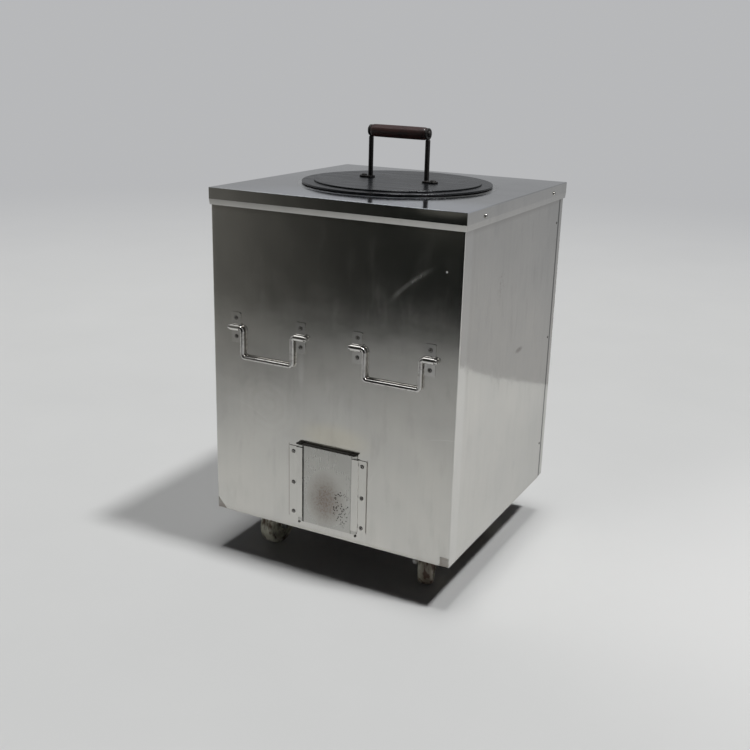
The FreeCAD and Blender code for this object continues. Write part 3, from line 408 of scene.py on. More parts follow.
mill_skin = Finish("mill_skin")
rust = mill_skin.above(mill_skin.grain(0.05, 6), 0.50, 0.66)
mill_skin.feed(
    Base_Color=mill_skin.mix(
        rust, mill_skin.mix(mill_skin.grain(0.3), MILL_DARK, MILL_GREY), RUST_BROWN),
    Metallic=0.7 - rust * 0.7,
    Roughness=rust * 0.35 + 0.5,
    Normal=mill_skin.relief(mill_skin.grain(0.004, 5), 0.0003))
mill_skin.give("base_bearer_front_eased", "base_bearer_rear_eased", "base_plate_eased",
               "base_frame", "top_frame",
               *(f"corner_post_{end}_{side}" for end, _ in ENDS for side, _ in HANDS))


# ---- swivel castors -----------------------------------------------------------------
# Zinc-plated pressed plates and forks carry turned nylon wheels on bolts. Each plate hangs
# under a bearer on four bolts, and years of mopping have left brown dirt on the treads. The
# front right tyre is painted darker still, dirt and painted shade together.

PLATED_EDGE = 0.0005
WHEEL_STEPS = 72
TYRE_DIRT_AND_SHADE = ((0.222, -0.235, 0.045), (0.022, 0.06, 0.10))
NYLON = (0.52, 0.51, 0.41)
TREAD_DIRT_AND_SHADE = (0.065, 0.034, 0.019)
ZINC = (0.42, 0.42, 0.41)
ZINC_DULL = (0.17, 0.15, 0.12)
castor_names = [f"castor_{end}_{side}" for end, _ in ENDS for side, _ in HANDS]
joints = {joint["name"]: joint for joint in frame["joints"]}


def draw(name, places):
    """Start a piece as one point and draw a line from it through the places."""
    bpy.ops.object.select_all(action="DESELECT")
    bpy.ops.mesh.primitive_plane_add(size=0.01)
    piece = bpy.context.object
    piece.name = name
    bpy.ops.object.mode_set(mode="EDIT")
    bpy.ops.mesh.select_mode(type="VERT")
    bpy.ops.mesh.merge(type="CENTER")
    bpy.ops.transform.translate(value=places[0])
    for here, there in zip(places, places[1:]):
        step = [after - before for before, after in zip(here, there)]
        bpy.ops.mesh.extrude_vertices_move(TRANSFORM_OT_translate={"value": step})
    return piece


def turned(name, outline, steps):
    """Turn a piece on the lathe about Z from the (radius, height) places of its outline."""
    piece = draw(name, [(radius, 0, height) for radius, height in outline])
    bpy.ops.mesh.select_all(action="SELECT")
    bpy.ops.mesh.spin(steps=steps, angle=2 * math.pi, center=(0, 0, 0), axis=(0, 0, 1))
    weld()
    bpy.ops.mesh.normals_make_consistent(inside=False)
    bpy.ops.object.mode_set(mode="OBJECT")
    return piece


wheel_outline = [
    (0.0051, -0.0195), (0.0165, -0.0195), (0.0170, -0.0190), (0.0170, -0.0095),
    (0.0185, -0.0080), (0.0340, -0.0078), (0.0360, -0.0090), (0.0378, -0.0165),
    (0.0388, -0.0175), (0.0425, -0.0175), (0.0452, -0.0168), (0.0472, -0.0152),
    (0.0488, -0.0128), (0.0496, -0.0098), (0.0500, -0.0060), (0.0500, 0.0)]
wheel_outline += [(radius, -across) for radius, across in reversed(wheel_outline[:-1])]
wheel_pattern = turned("wheel_pattern", wheel_outline + wheel_outline[:1], WHEEL_STEPS)

nylon = Finish("nylon_tread")
mopped = nylon.above(nylon.grain((0.013, 0.020, 0.035), 5), 0.42, 0.64)
# The patch on the front right tyre is brown dirt and painted shade together; the mottling elsewhere
# is dirt.
nylon.feed(
    Base_Color=nylon.mix(mopped * 0.95 + nylon.patch(*TYRE_DIRT_AND_SHADE) * 0.75, NYLON, TREAD_DIRT_AND_SHADE),
    Roughness=0.38 + mopped * 0.4,
    Normal=nylon.relief(nylon.grain(0.003, 4), 0.0002))

zinc = Finish("zinc_plate", Metallic=1.0)
dull = zinc.above(zinc.grain(0.018, 6), 0.42, 0.66)
zinc.feed(
    Base_Color=zinc.mix(dull, ZINC, ZINC_DULL),
    Roughness=0.3 + dull * 0.35,
    Normal=zinc.relief(zinc.grain(0.002, 4), 0.0001))

for name in castor_names:
    for part in ("plate", "fork", "axle"):
        body = "oven" if part == "plate" else f"{name}_fork"
        trued(f"{name}_{part}", body, "zinc_steel", PLATED_EDGE)
        zinc.give(f"{name}_{part}_eased")
    roll = joints[f"{name}_roll"]
    tyre = copied(f"{name}_tyre", wheel_pattern)
    tyre.matrix_world = (Matrix.Translation(roll["pos_m"])
                         @ Vector(roll["axis"]).to_track_quat("Z", "Y").to_matrix().to_4x4())
    fit(tyre, f"{name}_wheel", "nylon", f"{name}_wheel")
    nylon.give(tyre.name)
for node in ("castor_kingpins", "castor_bolts"):
    trued(node, "oven", "zinc_steel", PLATED_EDGE)
    zinc.give(f"{node}_eased")
bpy.data.objects.remove(wheel_pattern)


# ---- hearth -------------------------------------------------------------------------
# Firebricks laid dry in running bond on the base plate, with their joints brushed full of
# clay. The pot and the grate stand on them.

hearth_low, hearth_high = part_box("hearth_slab")
BRICK_COURSES = 5
BRICKS_IN_COURSE = 3
JOINT = 0.002
BRICK_EDGE = 0.0015
BRICK_RED = (0.42, 0.27, 0.15)
BRICK_PALE = (0.62, 0.47, 0.30)
ASH_GREY = (0.19, 0.18, 0.17)
course_width = (hearth_high.y - hearth_low.y) / BRICK_COURSES
brick_length = (hearth_high.x - hearth_low.x) / BRICKS_IN_COURSE


def block(name, low, high):
    """A block between two corners, still to be worked."""
    middle = (Vector(low) + Vector(high)) / 2
    bpy.ops.object.select_all(action="DESELECT")
    bpy.ops.mesh.primitive_cube_add(size=1, location=middle, scale=Vector(high) - Vector(low))
    piece = bpy.context.object
    piece.name = name
    return piece


def joined(name, pieces):
    """Join pieces to one."""
    only(*pieces)
    if len(pieces) > 1:
        bpy.ops.object.join()
    pieces[0].name = name
    return pieces[0]


bricks = [block("clay_joints", hearth_low, hearth_high - Vector((0, 0, JOINT)))]
for course in range(BRICK_COURSES):
    near = hearth_low.y + course * course_width
    shift = brick_length / 2 if course % 2 else 0
    ends = [hearth_low.x] + [hearth_low.x + shift + brick_length * count
                             for count in range(0 if shift else 1, BRICKS_IN_COURSE)]
    ends.append(hearth_high.x)
    for left, right in zip(ends, ends[1:]):
        brick = block("firebrick", (left + JOINT / 2, near + JOINT / 2, hearth_low.z + JOINT),
                      (right - JOINT / 2, near + course_width - JOINT / 2, hearth_high.z))
        bpy.ops.object.transform_apply(location=True, rotation=True, scale=True)
        ease(brick, BRICK_EDGE)
        bpy.ops.object.modifier_apply(modifier="eased")
        bricks.append(brick)
hearth = fit(joined("hearth_bricks", bricks), "oven", "firebrick", "hearth_slab")
firebrick = Finish("firebrick")
ash = firebrick.above(firebrick.grain(0.09, 5), 0.35, 0.62)
firebrick.feed(
    Base_Color=firebrick.mix(
        ash, firebrick.mix(firebrick.grain(0.006, 5), BRICK_RED, BRICK_PALE), ASH_GREY),
    Roughness=0.95 - ash * 0.05,
    Normal=firebrick.relief(firebrick.grain(0.005, 6), 0.0012))
firebrick.give(hearth.name)


# ---- clay pot -----------------------------------------------------------------------
# The pot is coiled by hand from clay and hair, beaten smooth outside and fired in use. Its
# inside keeps the coils' ridges, baked orange high up and sooted at the mouth and foot.

MOUTH_RADIUS = 0.150
RIM_RADIUS = 0.186
NECK_HEIGHT = 0.040
BELLY_HEIGHT = 0.210
BELLY_RADIUS = 0.252
FOOT_RADIUS = 0.238
POT_WALL = 0.035
POT_ROWS = 26
POT_STEPS = 128
COIL_PITCH = 0.045
COIL_RIDGE = 0.0016
COIL_SLANT = 3
LUMPS_IN_METRE = 22
RIM_ROUND = 0.006
ASH_HOLE_HALF = 0.059
ASH_HOLE_NEAR = -0.3
ASH_HOLE_FAR = -0.1
CLAY_RED = (0.40, 0.20, 0.11)
CLAY_PALE = (0.60, 0.38, 0.24)
CLAY_SPECK = (0.22, 0.12, 0.08)
SOOT = (0.035, 0.028, 0.024)
pot_low, pot_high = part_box("clay_pot")
duct_low, duct_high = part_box("draught_duct")
neck_foot = pot_high.z - NECK_HEIGHT


def cut(piece, tool, overlapping=False):
    """Have a tool's shape cut out of a piece when its modifiers are applied."""
    cutter = piece.modifiers.new("cut", "BOOLEAN")
    cutter.object = tool
    cutter.operation = "DIFFERENCE"
    cutter.solver = "EXACT"
    cutter.use_self = overlapping


def side_arc(top, belly, foot, rows):
    """Places on the circle through three (radius, height) places, from top to foot."""
    (ax, ay), (bx, by), (cx, cy) = top, belly, foot
    twice = 2 * (ax * (by - cy) + bx * (cy - ay) + cx * (ay - by))
    squares = [x * x + y * y for x, y in (top, belly, foot)]
    middle_x = (squares[0] * (by - cy) + squares[1] * (cy - ay) + squares[2] * (ay - by)) / twice
    middle_y = (squares[0] * (cx - bx) + squares[1] * (ax - cx) + squares[2] * (bx - ax)) / twice
    radius = math.hypot(ax - middle_x, ay - middle_y)
    return [(middle_x + math.sqrt(radius ** 2 - (height - middle_y) ** 2), height)
            for height in (ay + (cy - ay) * row / rows for row in range(rows + 1))]


belly_level = pot_low.z + BELLY_HEIGHT
pot_outside = side_arc((RIM_RADIUS, neck_foot), (BELLY_RADIUS, belly_level),
                       (FOOT_RADIUS, pot_low.z), POT_ROWS)
pot_inside = side_arc((MOUTH_RADIUS, neck_foot), (BELLY_RADIUS - POT_WALL, belly_level),
                      (FOOT_RADIUS - POT_WALL, pot_low.z), POT_ROWS)
pot_rim = [(MOUTH_RADIUS, neck_foot + NECK_HEIGHT / 2), (MOUTH_RADIUS, pot_high.z - RIM_ROUND),
           (MOUTH_RADIUS + RIM_ROUND * 0.3, pot_high.z - RIM_ROUND * 0.3),
           (MOUTH_RADIUS + RIM_ROUND, pot_high.z), (RIM_RADIUS - RIM_ROUND, pot_high.z),
           (RIM_RADIUS - RIM_ROUND * 0.3, pot_high.z - RIM_ROUND * 0.3),
           (RIM_RADIUS, pot_high.z - RIM_ROUND)]
pot = turned("coiled_pot", pot_inside[::-1] + pot_rim + pot_outside + pot_inside[-1:], POT_STEPS)
for corner in pot.data.vertices:
    radius = math.hypot(corner.co.x, corner.co.y)
    outside = min(pot_outside, key=lambda place: abs(place[1] - corner.co.z))[0]
    if radius < outside - POT_WALL / 2 and corner.co.z < neck_foot:
        ridge = math.sin(2 * math.pi * (corner.co.z / COIL_PITCH + corner.co.x * COIL_SLANT))
        lump = noise.noise(corner.co * LUMPS_IN_METRE) * 2
        grow = 1 + COIL_RIDGE * (ridge + lump) / radius
        corner.co.x *= grow
        corner.co.y *= grow
ash_tool = block("ash_tool", (-ASH_HOLE_HALF, ASH_HOLE_NEAR, pot_low.z - 0.01),
                 (ASH_HOLE_HALF, ASH_HOLE_FAR, duct_high.z + 0.001))
cut(pot, ash_tool)
fit(pot, "oven", "fired_clay", "clay_pot", smooth=40)
bpy.data.objects.remove(ash_tool)

clay = Finish("fired_clay")
ragged_height = clay.z + clay.grain(0.06, 5) * 0.12
mouth_soot = clay.above(ragged_height, 0.83, 0.90)
foot_soot = clay.above(ragged_height, 0.42, 0.26)
baked = clay.mix(clay.grain(0.05, 6), CLAY_RED, CLAY_PALE)
speckled = clay.mix(clay.above(clay.grain(0.004, 3), 0.60, 0.72), baked, CLAY_SPECK)
clay.feed(
    Base_Color=clay.mix(mouth_soot * 0.75 + foot_soot * 0.7, speckled, SOOT),
    Roughness=0.88 + clay.grain(0.01) * 0.1,
    Normal=clay.relief(clay.grain((0.02, 0.02, 0.005), 5), 0.002))
clay.give(pot.name)


# ---- fire grate, duct and insulation ----------------------------------------------------
# The grate is cast iron with seven slots on three feet. A folded steel duct leads the draught
# to it, and loose mineral wool is packed between the pot and the casing.

CAST_EDGE = 0.0012
IRON_BLACK = (0.035, 0.033, 0.032)
IRON_BURNT = (0.13, 0.075, 0.05)
WOOL_DARK = (0.34, 0.31, 0.20)
WOOL_PALE = (0.70, 0.66, 0.52)
trued("fire_grate", "oven", "cast_iron", CAST_EDGE)
iron = Finish("cast_iron")
burnt = iron.above(iron.grain(0.03, 5), 0.45, 0.60)
iron.feed(
    Base_Color=iron.mix(burnt, IRON_BLACK, IRON_BURNT),
    Metallic=0.8 - burnt * 0.8,
    Roughness=0.62 + burnt * 0.25,
    Normal=iron.relief(iron.grain(0.003, 6), 0.0012))
iron.give("fire_grate_eased")
mill_skin.give("draught_duct")
wool = Finish("mineral_wool")
tuft = wool.grain((0.03, 0.004, 0.03), 6)
wool.feed(Base_Color=wool.mix(tuft, WOOL_DARK, WOOL_PALE),
          Roughness=0.9 + tuft * 0.1,
          Normal=wool.relief(tuft, 0.006))
wool.give("insulation")


# ---- casing -------------------------------------------------------------------------
# The front and both sides are one sheet of stainless steel, folded twice on a brake, with
# the doorway cut first. Knocks have pushed in both lower front corners.

SHEET = 0.0015
FOLD_RADIUS = 0.003
GRID_STEP = 0.014
SHEET_WAVE = 0.00035
WAVES_IN_METRE = 5.5
FLAT_REACH = 0.05
DOOR_FLAT_X = 0.12
DOOR_FLAT_Z = 0.33
CORNER_KNOCK = 0.0016
LEFT_KNOCK = (0.030, 0.034)
RIGHT_KNOCK = 0.026
casing_low, casing_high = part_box("casing_wrap")
doorway_half = duct_high.x - 0.002
doorway_low = duct_low.z + 0.002
doorway_high = duct_high.z - 0.002


def pick(test, kind="FACE"):
    """In edit mode, select the faces, edges or corners whose middle passes a test."""
    bpy.ops.mesh.select_mode(type=kind)
    bpy.ops.mesh.select_all(action="DESELECT")
    mesh = bmesh.from_edit_mesh(bpy.context.object.data)
    parts = {"VERT": mesh.verts, "EDGE": mesh.edges, "FACE": mesh.faces}[kind]
    for part in parts:
        corners = [part] if kind == "VERT" else part.verts
        if test(sum((corner.co for corner in corners), Vector()) / len(corners)):
            part.select_set(True)
    mesh.select_flush_mode()
    bmesh.update_edit_mesh(bpy.context.object.data)


def run(step):
    """Extrude what is selected by a step."""
    bpy.ops.mesh.extrude_region_move(TRANSFORM_OT_translate={"value": step})


def round_edges(test, radius, segments=4):
    """Round the edges of a sheet that a test picks."""
    pick(test, "EDGE")
    bpy.ops.mesh.bevel(offset=radius, segments=segments, affect="EDGES")


def round_corners(test, radius):
    """Round the corners of a flat sheet that a test picks."""
    pick(test, "VERT")
    bpy.ops.mesh.bevel(offset=radius, segments=4, affect="VERTICES")


def face_out(way):
    """In edit mode, turn an open sheet so that on the whole its faces look along a way."""
    bpy.ops.mesh.select_all(action="SELECT")
    bpy.ops.mesh.normals_make_consistent(inside=False)
    mesh = bmesh.from_edit_mesh(bpy.context.object.data)
    if sum((face.normal * face.calc_area() for face in mesh.faces), Vector()).dot(way) < 0:
        bpy.ops.mesh.flip_normals()


def thicken(piece, sheet=SHEET):
    """Give an open sheet its thickness, behind its faces."""
    wall = piece.modifiers.new("sheet", "SOLIDIFY")
    wall.thickness = sheet
    wall.offset = -1
    wall.use_even_offset = True


def gridded(places):
    """Places along straight runs, no further apart than the grid step."""
    dense = [places[0]]
    for here, there in zip(places, places[1:]):
        span = Vector(there) - Vector(here)
        count = max(1, round(span.length / GRID_STEP))
        dense += [tuple(Vector(here) + span * part / count) for part in range(1, count + 1)]
    return dense


def folded_sheet(name, plan, levels):
    """Draw a folded sheet's plan, raise it through its levels and round its folds."""
    piece = draw(name, gridded([(x, y, levels[0]) for x, y in plan]))
    bpy.ops.mesh.select_all(action="SELECT")
    rises = gridded([(level, 0, 0) for level in levels])
    for here, there in zip(rises, rises[1:]):
        run((0, 0, there[0] - here[0]))
    for x, y in plan[1:-1]:
        if abs(x) > abs(plan[0][0]) - 1e-5 and abs(y) > min(abs(y) for _, y in plan) + 1e-5:
            round_edges(lambda place: abs(place.x - x) + abs(place.y - y) < 1e-5,
                        FOLD_RADIUS, segments=5)
    face_out(Vector((0, math.copysign(1, plan[1][1]), 0)))
    return piece


casing = folded_sheet("casing_sheet", [
    (casing_low.x, casing_high.y), (casing_low.x, casing_low.y), (-doorway_half, casing_low.y),
    (doorway_half, casing_low.y), (casing_high.x, casing_low.y), (casing_high.x, casing_high.y)],
    (casing_low.z, doorway_low, doorway_high, casing_high.z))
pick(lambda place: place.y < casing_low.y + 1e-5 and abs(place.x) < doorway_half
     and doorway_low < place.z < doorway_high)
bpy.ops.mesh.delete(type="FACE")
bpy.ops.object.mode_set(mode="OBJECT")


def outward(place):
    """How far a place of the casing is from its nearest fold or edge, and its way out."""
    if place.y < casing_low.y + 1e-4:
        return casing_high.x - abs(place.x), Vector((0, -1, 0))
    return (min(place.y - casing_low.y, casing_high.y - place.y),
            Vector((math.copysign(1, place.x), 0, 0)))


def wave(place, inset):
    """How far a sheet waves at a place, still at its folds and edges."""
    held = min(1, max(0, inset - FOLD_RADIUS) / FLAT_REACH)
    return SHEET_WAVE * (noise.noise(place * WAVES_IN_METRE) - 0.5) * held


for corner in casing.data.vertices:
    inset, way = outward(corner.co)
    if way.y > -1 or abs(corner.co.x) >= DOOR_FLAT_X or corner.co.z >= DOOR_FLAT_Z:
        corner.co += way * wave(corner.co, inset)
for corner in casing.data.vertices:
    if outward(corner.co)[1].y < 0:
        from_left, from_right = corner.co.x - casing_low.x, casing_high.x - corner.co.x
        up_side = corner.co.z - casing_low.z
        left_knock = from_left / LEFT_KNOCK[0] + up_side / LEFT_KNOCK[1]
        push = max(0, 1 - min(left_knock, max(from_right, up_side) / RIGHT_KNOCK))
        corner.co.y += CORNER_KNOCK * min(1, push * 2.5)
thicken(casing)
fit(casing, "oven", "stainless_sheet", "casing_wrap", smooth=50)


def stainless(name, along, tint=(0.64, 0.635, 0.61), shine=0.09):
    """Rolled stainless sheet: grain along one axis, cloudy wiping and slight waves."""
    finish = Finish(name, Metallic=1.0)
    hair, band = (finish.grain([length if letter == along else spacing for letter in "XYZ"], 3, 0.6)
                  for spacing, length in ((0.0025, 0.5), (0.014, 0.9)))
    cloud = finish.grain(0.15, 5, 0.6)
    smear = finish.above(finish.grain((0.03, 0.03, 0.10), 5, 0.6), 0.50, 0.72)
    tone = hair * 0.06 + band * 0.07 + cloud * 0.26 - smear * 0.06 + 0.81
    warm = finish.mix(cloud, tint, (tint[0] * 0.98, tint[1] * 0.96, tint[2] * 0.93))
    finish.colour = finish.shade(warm, tone)
    finish.gloss = hair * 0.03 + cloud * 0.10 + smear * 0.05 + shine
    finish.surface = finish.relief(finish.grain(0.05, 2), 0.00010,
                                   finish.relief(finish.grain(0.16, 2), 0.0009))
    return finish


# Each mark has its place and its reach along each axis.
front_y, right_x = casing_low.y, casing_high.x
SCORCH = ((0.014, front_y, 0.338), (0.110, 0.05, 0.045))
SWIRL = ((-0.155, front_y, 0.385), (0.13, 0.05, 0.11))
DRIP = ((-0.068, front_y, 0.485), (0.010, 0.05, 0.055))
DRIP_BELOW = ((0.020, front_y, 0.41), (0.10, 0.05, 0.07))
HAND_SMUDGE = ((right_x, 0.050, 0.498), (0.05, 0.030, 0.008))
HAND_MARKS = ((right_x, -0.090, 0.670), (0.05, 0.030, 0.045))
PIN_DENT = ((0.262, front_y, 0.734), (0.0024, 0.01, 0.0024))
SMEAR = ((0.190, front_y, 0.700), (0.075, 0.05, 0.080))
SMEAR_ARC = ((0.420, front_y, 0.415), 0.372)
SCRATCH_ARCS = (((-0.020, front_y, 0.980), 0.330), ((-0.300, front_y, 0.120), 0.270),
                ((0.300, front_y, 0.180), 0.210))
RAIL_SEAM_X = 0.0985
RAIL_MIDDLE = 0.219
RAIL_HALF = 0.084
FOLD_BAND = 0.045
PANEL_TWIST = -0.014
SCORCHED = (0.76, 0.72, 0.61)
WIPED = (0.82, 0.815, 0.79)
GRIME_AND_SHADE = (0.21, 0.182, 0.160)
PAINTED_FOLD_HIGHLIGHT = (0.80, 0.795, 0.78)
SCRATCHED = (0.90, 0.89, 0.87)
SMEARED = (0.95, 0.95, 0.93)
PAINTED_DENT_GLINT = (0.95, 0.95, 0.94)
SIDE_SHADE_COLOUR = (0.40, 0.395, 0.38)
LAP_SHADOW_COLOUR = (0.03, 0.028, 0.025)

panel = stainless("casing_stainless", "Z")
on_front = panel.above(panel.y, front_y + 0.004, front_y + 0.001)
on_side = panel.above(abs(panel.x), right_x - 0.004, right_x - 0.001)
scorch = panel.patch(*SCORCH)
arcs = panel.node("TexWave", {"wave_type": "RINGS", "rings_direction": "SPHERICAL"},
                  {"Vector": panel.offset(SWIRL[0]), "Scale": 16.0, "Distortion": 3.0,
                   "Detail": 3.0, "Detail Scale": 2.0}, out="Fac")
swirl = panel.patch(*SWIRL) * arcs
drip = panel.patch(*DRIP) + panel.patch(*DRIP_BELOW) * 0.3
from_left, from_right = panel.x - casing_low.x, right_x - panel.x
up_side = panel.z - casing_low.z
# Both knocked lower front corners are made darker.
knock = (panel.above(from_left / 0.026 + up_side / 0.030, 1.05, 0.90)
         + panel.above(from_right / 0.022, 1.05, 0.90)
         * panel.above(up_side / 0.022, 1.05, 0.90)) * on_front
fingers = panel.above(panel.grain((0.01, 0.004, 0.012), 4), 0.56, 0.64)
thumbed = (panel.patch(*HAND_SMUDGE) * 0.55
           + panel.patch(*HAND_MARKS) * fingers * 0.6) * on_side
# Seam lines: dirt with painted shade along the outer edges of the rail flanges, a darker band along
# the bottom edge, and a painted shadow in the band just under the cap's skirt.
seam_dirt_and_shade = (panel.stripe(abs(panel.x), RAIL_SEAM_X, 0.0022)
             * panel.above(abs(panel.z - RAIL_MIDDLE), RAIL_HALF + 0.006, RAIL_HALF) * on_front
             + panel.above(panel.z, casing_low.z + 0.014, casing_low.z) * 0.25
             + panel.above(panel.z, casing_high.z - 0.050, casing_high.z - 0.034) * 0.5)
# Painted highlight: the sides are painted lighter in a band beside the front folds.
painted_fold_highlight = panel.above(panel.y, front_y + FOLD_BAND, front_y + FOLD_BAND * 0.7) * on_side
scratches = panel.above(panel.grain(0.09, 2), 0.50, 0.58) * on_front
arc_smear = (panel.stripe(panel.distance(SMEAR_ARC[0]), SMEAR_ARC[1], 0.0065)
             * panel.patch(*SMEAR) * on_front)
# Painted shade: the sides are painted darker towards the bottom and towards the rear.
painted_side_shade = (panel.above(panel.z, 0.50, 0.12) * 0.30
             + panel.above(panel.y, 0.05, 0.25) * 0.12) * on_side
# Painted shadow: a dark stripe on each side just behind the casing's rear edge, where the rear
# panel's return laps under it.
painted_lap_shadow = (panel.above(panel.y, casing_high.y + 0.0145, casing_high.y + 0.0120)
       * panel.above(panel.y, casing_high.y - 0.0006, casing_high.y)) * on_side
# A small dent with a painted glint: its middle is painted matt white and made not metal.
dent_and_glint = panel.patch(*PIN_DENT)
twist = (panel.z - 0.45) * panel.above(panel.y, -0.27, -0.08) * on_side
look = panel.colour
for share, colour in (
        (scorch * 0.6, SCORCHED), (swirl * 0.12 + drip * 0.42, WIPED),
        (knock * 0.66 + thumbed + seam_dirt_and_shade * 0.55, GRIME_AND_SHADE), (painted_fold_highlight * 0.25, PAINTED_FOLD_HIGHLIGHT),
        *((panel.stripe(panel.distance(centre), radius, 0.0007) * scratches * 0.35, SCRATCHED)
          for centre, radius in SCRATCH_ARCS),
        (arc_smear * 0.25, SMEARED), (painted_side_shade, SIDE_SHADE_COLOUR), (painted_lap_shadow * 0.9, LAP_SHADOW_COLOUR),
        (dent_and_glint, PAINTED_DENT_GLINT)):
    look = panel.mix(share, look, colour)
panel.feed(
    Base_Color=look,
    Metallic=1.0 - dent_and_glint,
    Roughness=(panel.gloss + knock * 0.22 + thumbed * 0.3 + swirl * 0.015 + scorch * 0.05
               + arc_smear * 0.09 - on_side * 0.07),
    Normal=panel.relief(twist, PANEL_TWIST, panel.relief(dent_and_glint, 0.0008, panel.surface)))
panel.give(casing.name)


# ---- rear panel ---------------------------------------------------------------------
# A stainless sheet with two narrow returns that slip inside the casing, where three blind
# rivets hold each side.

RETURN_DEPTH = 0.060
rear_low, rear_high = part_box("rear_panel")
rear = folded_sheet("rear_sheet", [
    (rear_low.x, rear_high.y - RETURN_DEPTH), (rear_low.x, rear_high.y),
    (rear_high.x, rear_high.y), (rear_high.x, rear_high.y - RETURN_DEPTH)],
    (rear_low.z, rear_high.z))
bpy.ops.object.mode_set(mode="OBJECT")
for corner in rear.data.vertices:
    if corner.co.y > rear_high.y - 1e-4:
        corner.co.y += wave(corner.co, rear_high.x - abs(corner.co.x))
thicken(rear)
fit(rear, "oven", "stainless_sheet", "rear_panel", smooth=50)
panel.give(rear.name)


# ---- door rails and draught door -------------------------------------------------------
# The rails are strips joggled over the door's edges. The door is a plate of thicker
# stainless with a lip folded out to lift it by. Heat and damp have browned and pitted it.

RAIL_FLANGE = 0.0785
RAIL_BEND = 0.0014
DOOR_PLATE = 0.002
DOOR_BEND = 0.0026
STRIP_ROUND = 0.003
STRIP_EDGE = 0.00025

for side, hand in HANDS:
    node = f"door_rail_{side}"
    low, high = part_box(node)
    outer = hand * max(abs(low.x), abs(high.x))
    inner = hand * min(abs(low.x), abs(high.x))
    joggle = hand * RAIL_FLANGE
    face = high.y - SHEET
    rail = draw(f"rail_strip_{side}", [(outer, face, low.z), (joggle, face, low.z),
                                       (joggle, low.y, low.z), (inner, low.y, low.z)])
    bpy.ops.mesh.select_all(action="SELECT")
    run((0, 0, high.z - low.z))
    round_edges(lambda place: abs(place.x - joggle) < TOUCHING
                and abs(place.z - (low.z + high.z) / 2) < 1e-3, RAIL_BEND)
    round_corners(lambda place: abs(place.x - outer) < TOUCHING, STRIP_ROUND)
    face_out(Vector((0, -1, 0)))
    thicken(rail)
    ease(rail, STRIP_EDGE)
    fit(rail, "oven", "stainless_sheet", node)
    panel.give(rail.name)

door_low, door_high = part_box("draught_door")
door_face = door_high.y - DOOR_PLATE
door = draw("door_plate", [
    (door_low.x, door_face, door_low.z), (door_low.x, door_face, door_high.z),
    (door_low.x, door_low.y, door_high.z)])
bpy.ops.mesh.select_all(action="SELECT")
run((door_high.x - door_low.x, 0, 0))
round_edges(lambda place: (place - Vector((0, door_face, door_high.z))).length < TOUCHING,
            DOOR_BEND - DOOR_PLATE)
round_corners(lambda place: place.z < door_low.z + TOUCHING or place.y < door_low.y + TOUCHING,
              STRIP_ROUND)
face_out(Vector((0, -1, 1)))
thicken(door, DOOR_PLATE)
ease(door, STRIP_EDGE)
fit(door, "draught_door", "door_plate", "draught_door")

RUST_PATCH = ((-0.004, door_low.y, 0.190), (0.058, 0.06, 0.078))
PIT_PATCH = ((0.036, door_low.y, 0.180), (0.040, 0.06, 0.080))
PITS_IN_METRE = 190.0
DOOR_SEEN = min(abs(corner.x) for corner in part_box("door_rail_left")) - 0.001
DOOR_TINT = (0.49, 0.49, 0.47)
DOOR_BROWN = (0.24, 0.165, 0.125)
PIT_DARK = (0.03, 0.022, 0.018)
DOOR_DIRT_AND_SHADE = (0.022, 0.018, 0.015)
plate = stainless("door_steel", "Z", DOOR_TINT, 0.20)
speckle = plate.above(plate.grain(0.0035, 5, 0.65), 0.46, 0.62)
blotch = plate.patch(*RUST_PATCH, 0.1)
browned = plate.mix(blotch * (speckle * 0.45 + 0.35), plate.colour, DOOR_BROWN)
pits = plate.node("TexVoronoi", sockets={"Vector": plate.place, "Scale": PITS_IN_METRE},
                  out="Distance")
pitted = plate.above(pits, 0.34, 0.22) * plate.above(
    plate.patch(*PIT_PATCH, 0.2) + plate.grain(0.010, 3) * 0.6, 0.80, 1.0)
# Dark lines by the rails are dirt and the painted shadow of the gap under the rails.
edge_dirt_and_shadow = (plate.stripe(plate.x, -DOOR_SEEN, 0.0030) * 0.9
             + plate.stripe(plate.x, DOOR_SEEN, 0.0018) * 0.4)
# The lip is painted dark as painted shade, with a painted highlight along its middle.
lip_share = plate.above(plate.z, door_high.z - 0.0035, door_high.z - 0.0015)
lip_painted_highlight = plate.stripe(plate.y, (door_low.y + door_high.y) / 2, 0.0022)
door_dirt_and_shade = edge_dirt_and_shadow + lip_share * 0.93 - lip_share * lip_painted_highlight * 0.35
plate.feed(
    Base_Color=plate.mix(door_dirt_and_shade, plate.mix(pitted * 0.9, browned, PIT_DARK), DOOR_DIRT_AND_SHADE),
    Metallic=1.0 - blotch * speckle * 0.6 - pitted * 0.4 - lip_share * 0.4,
    Roughness=plate.gloss + blotch * 0.22 + pitted * 0.3 + lip_share * 0.1,
    Normal=plate.relief(1.0 - pitted, 0.0003, plate.surface))
plate.give(door.name)


# ---- blind rivets -------------------------------------------------------------------
# Stainless blind rivets. Each domed head keeps the ring and the pit where its pin
# snapped off. The pit is painted dark with dirt and painted shade, and the dome's outer slope
# with dirt and a painted dark reflection.

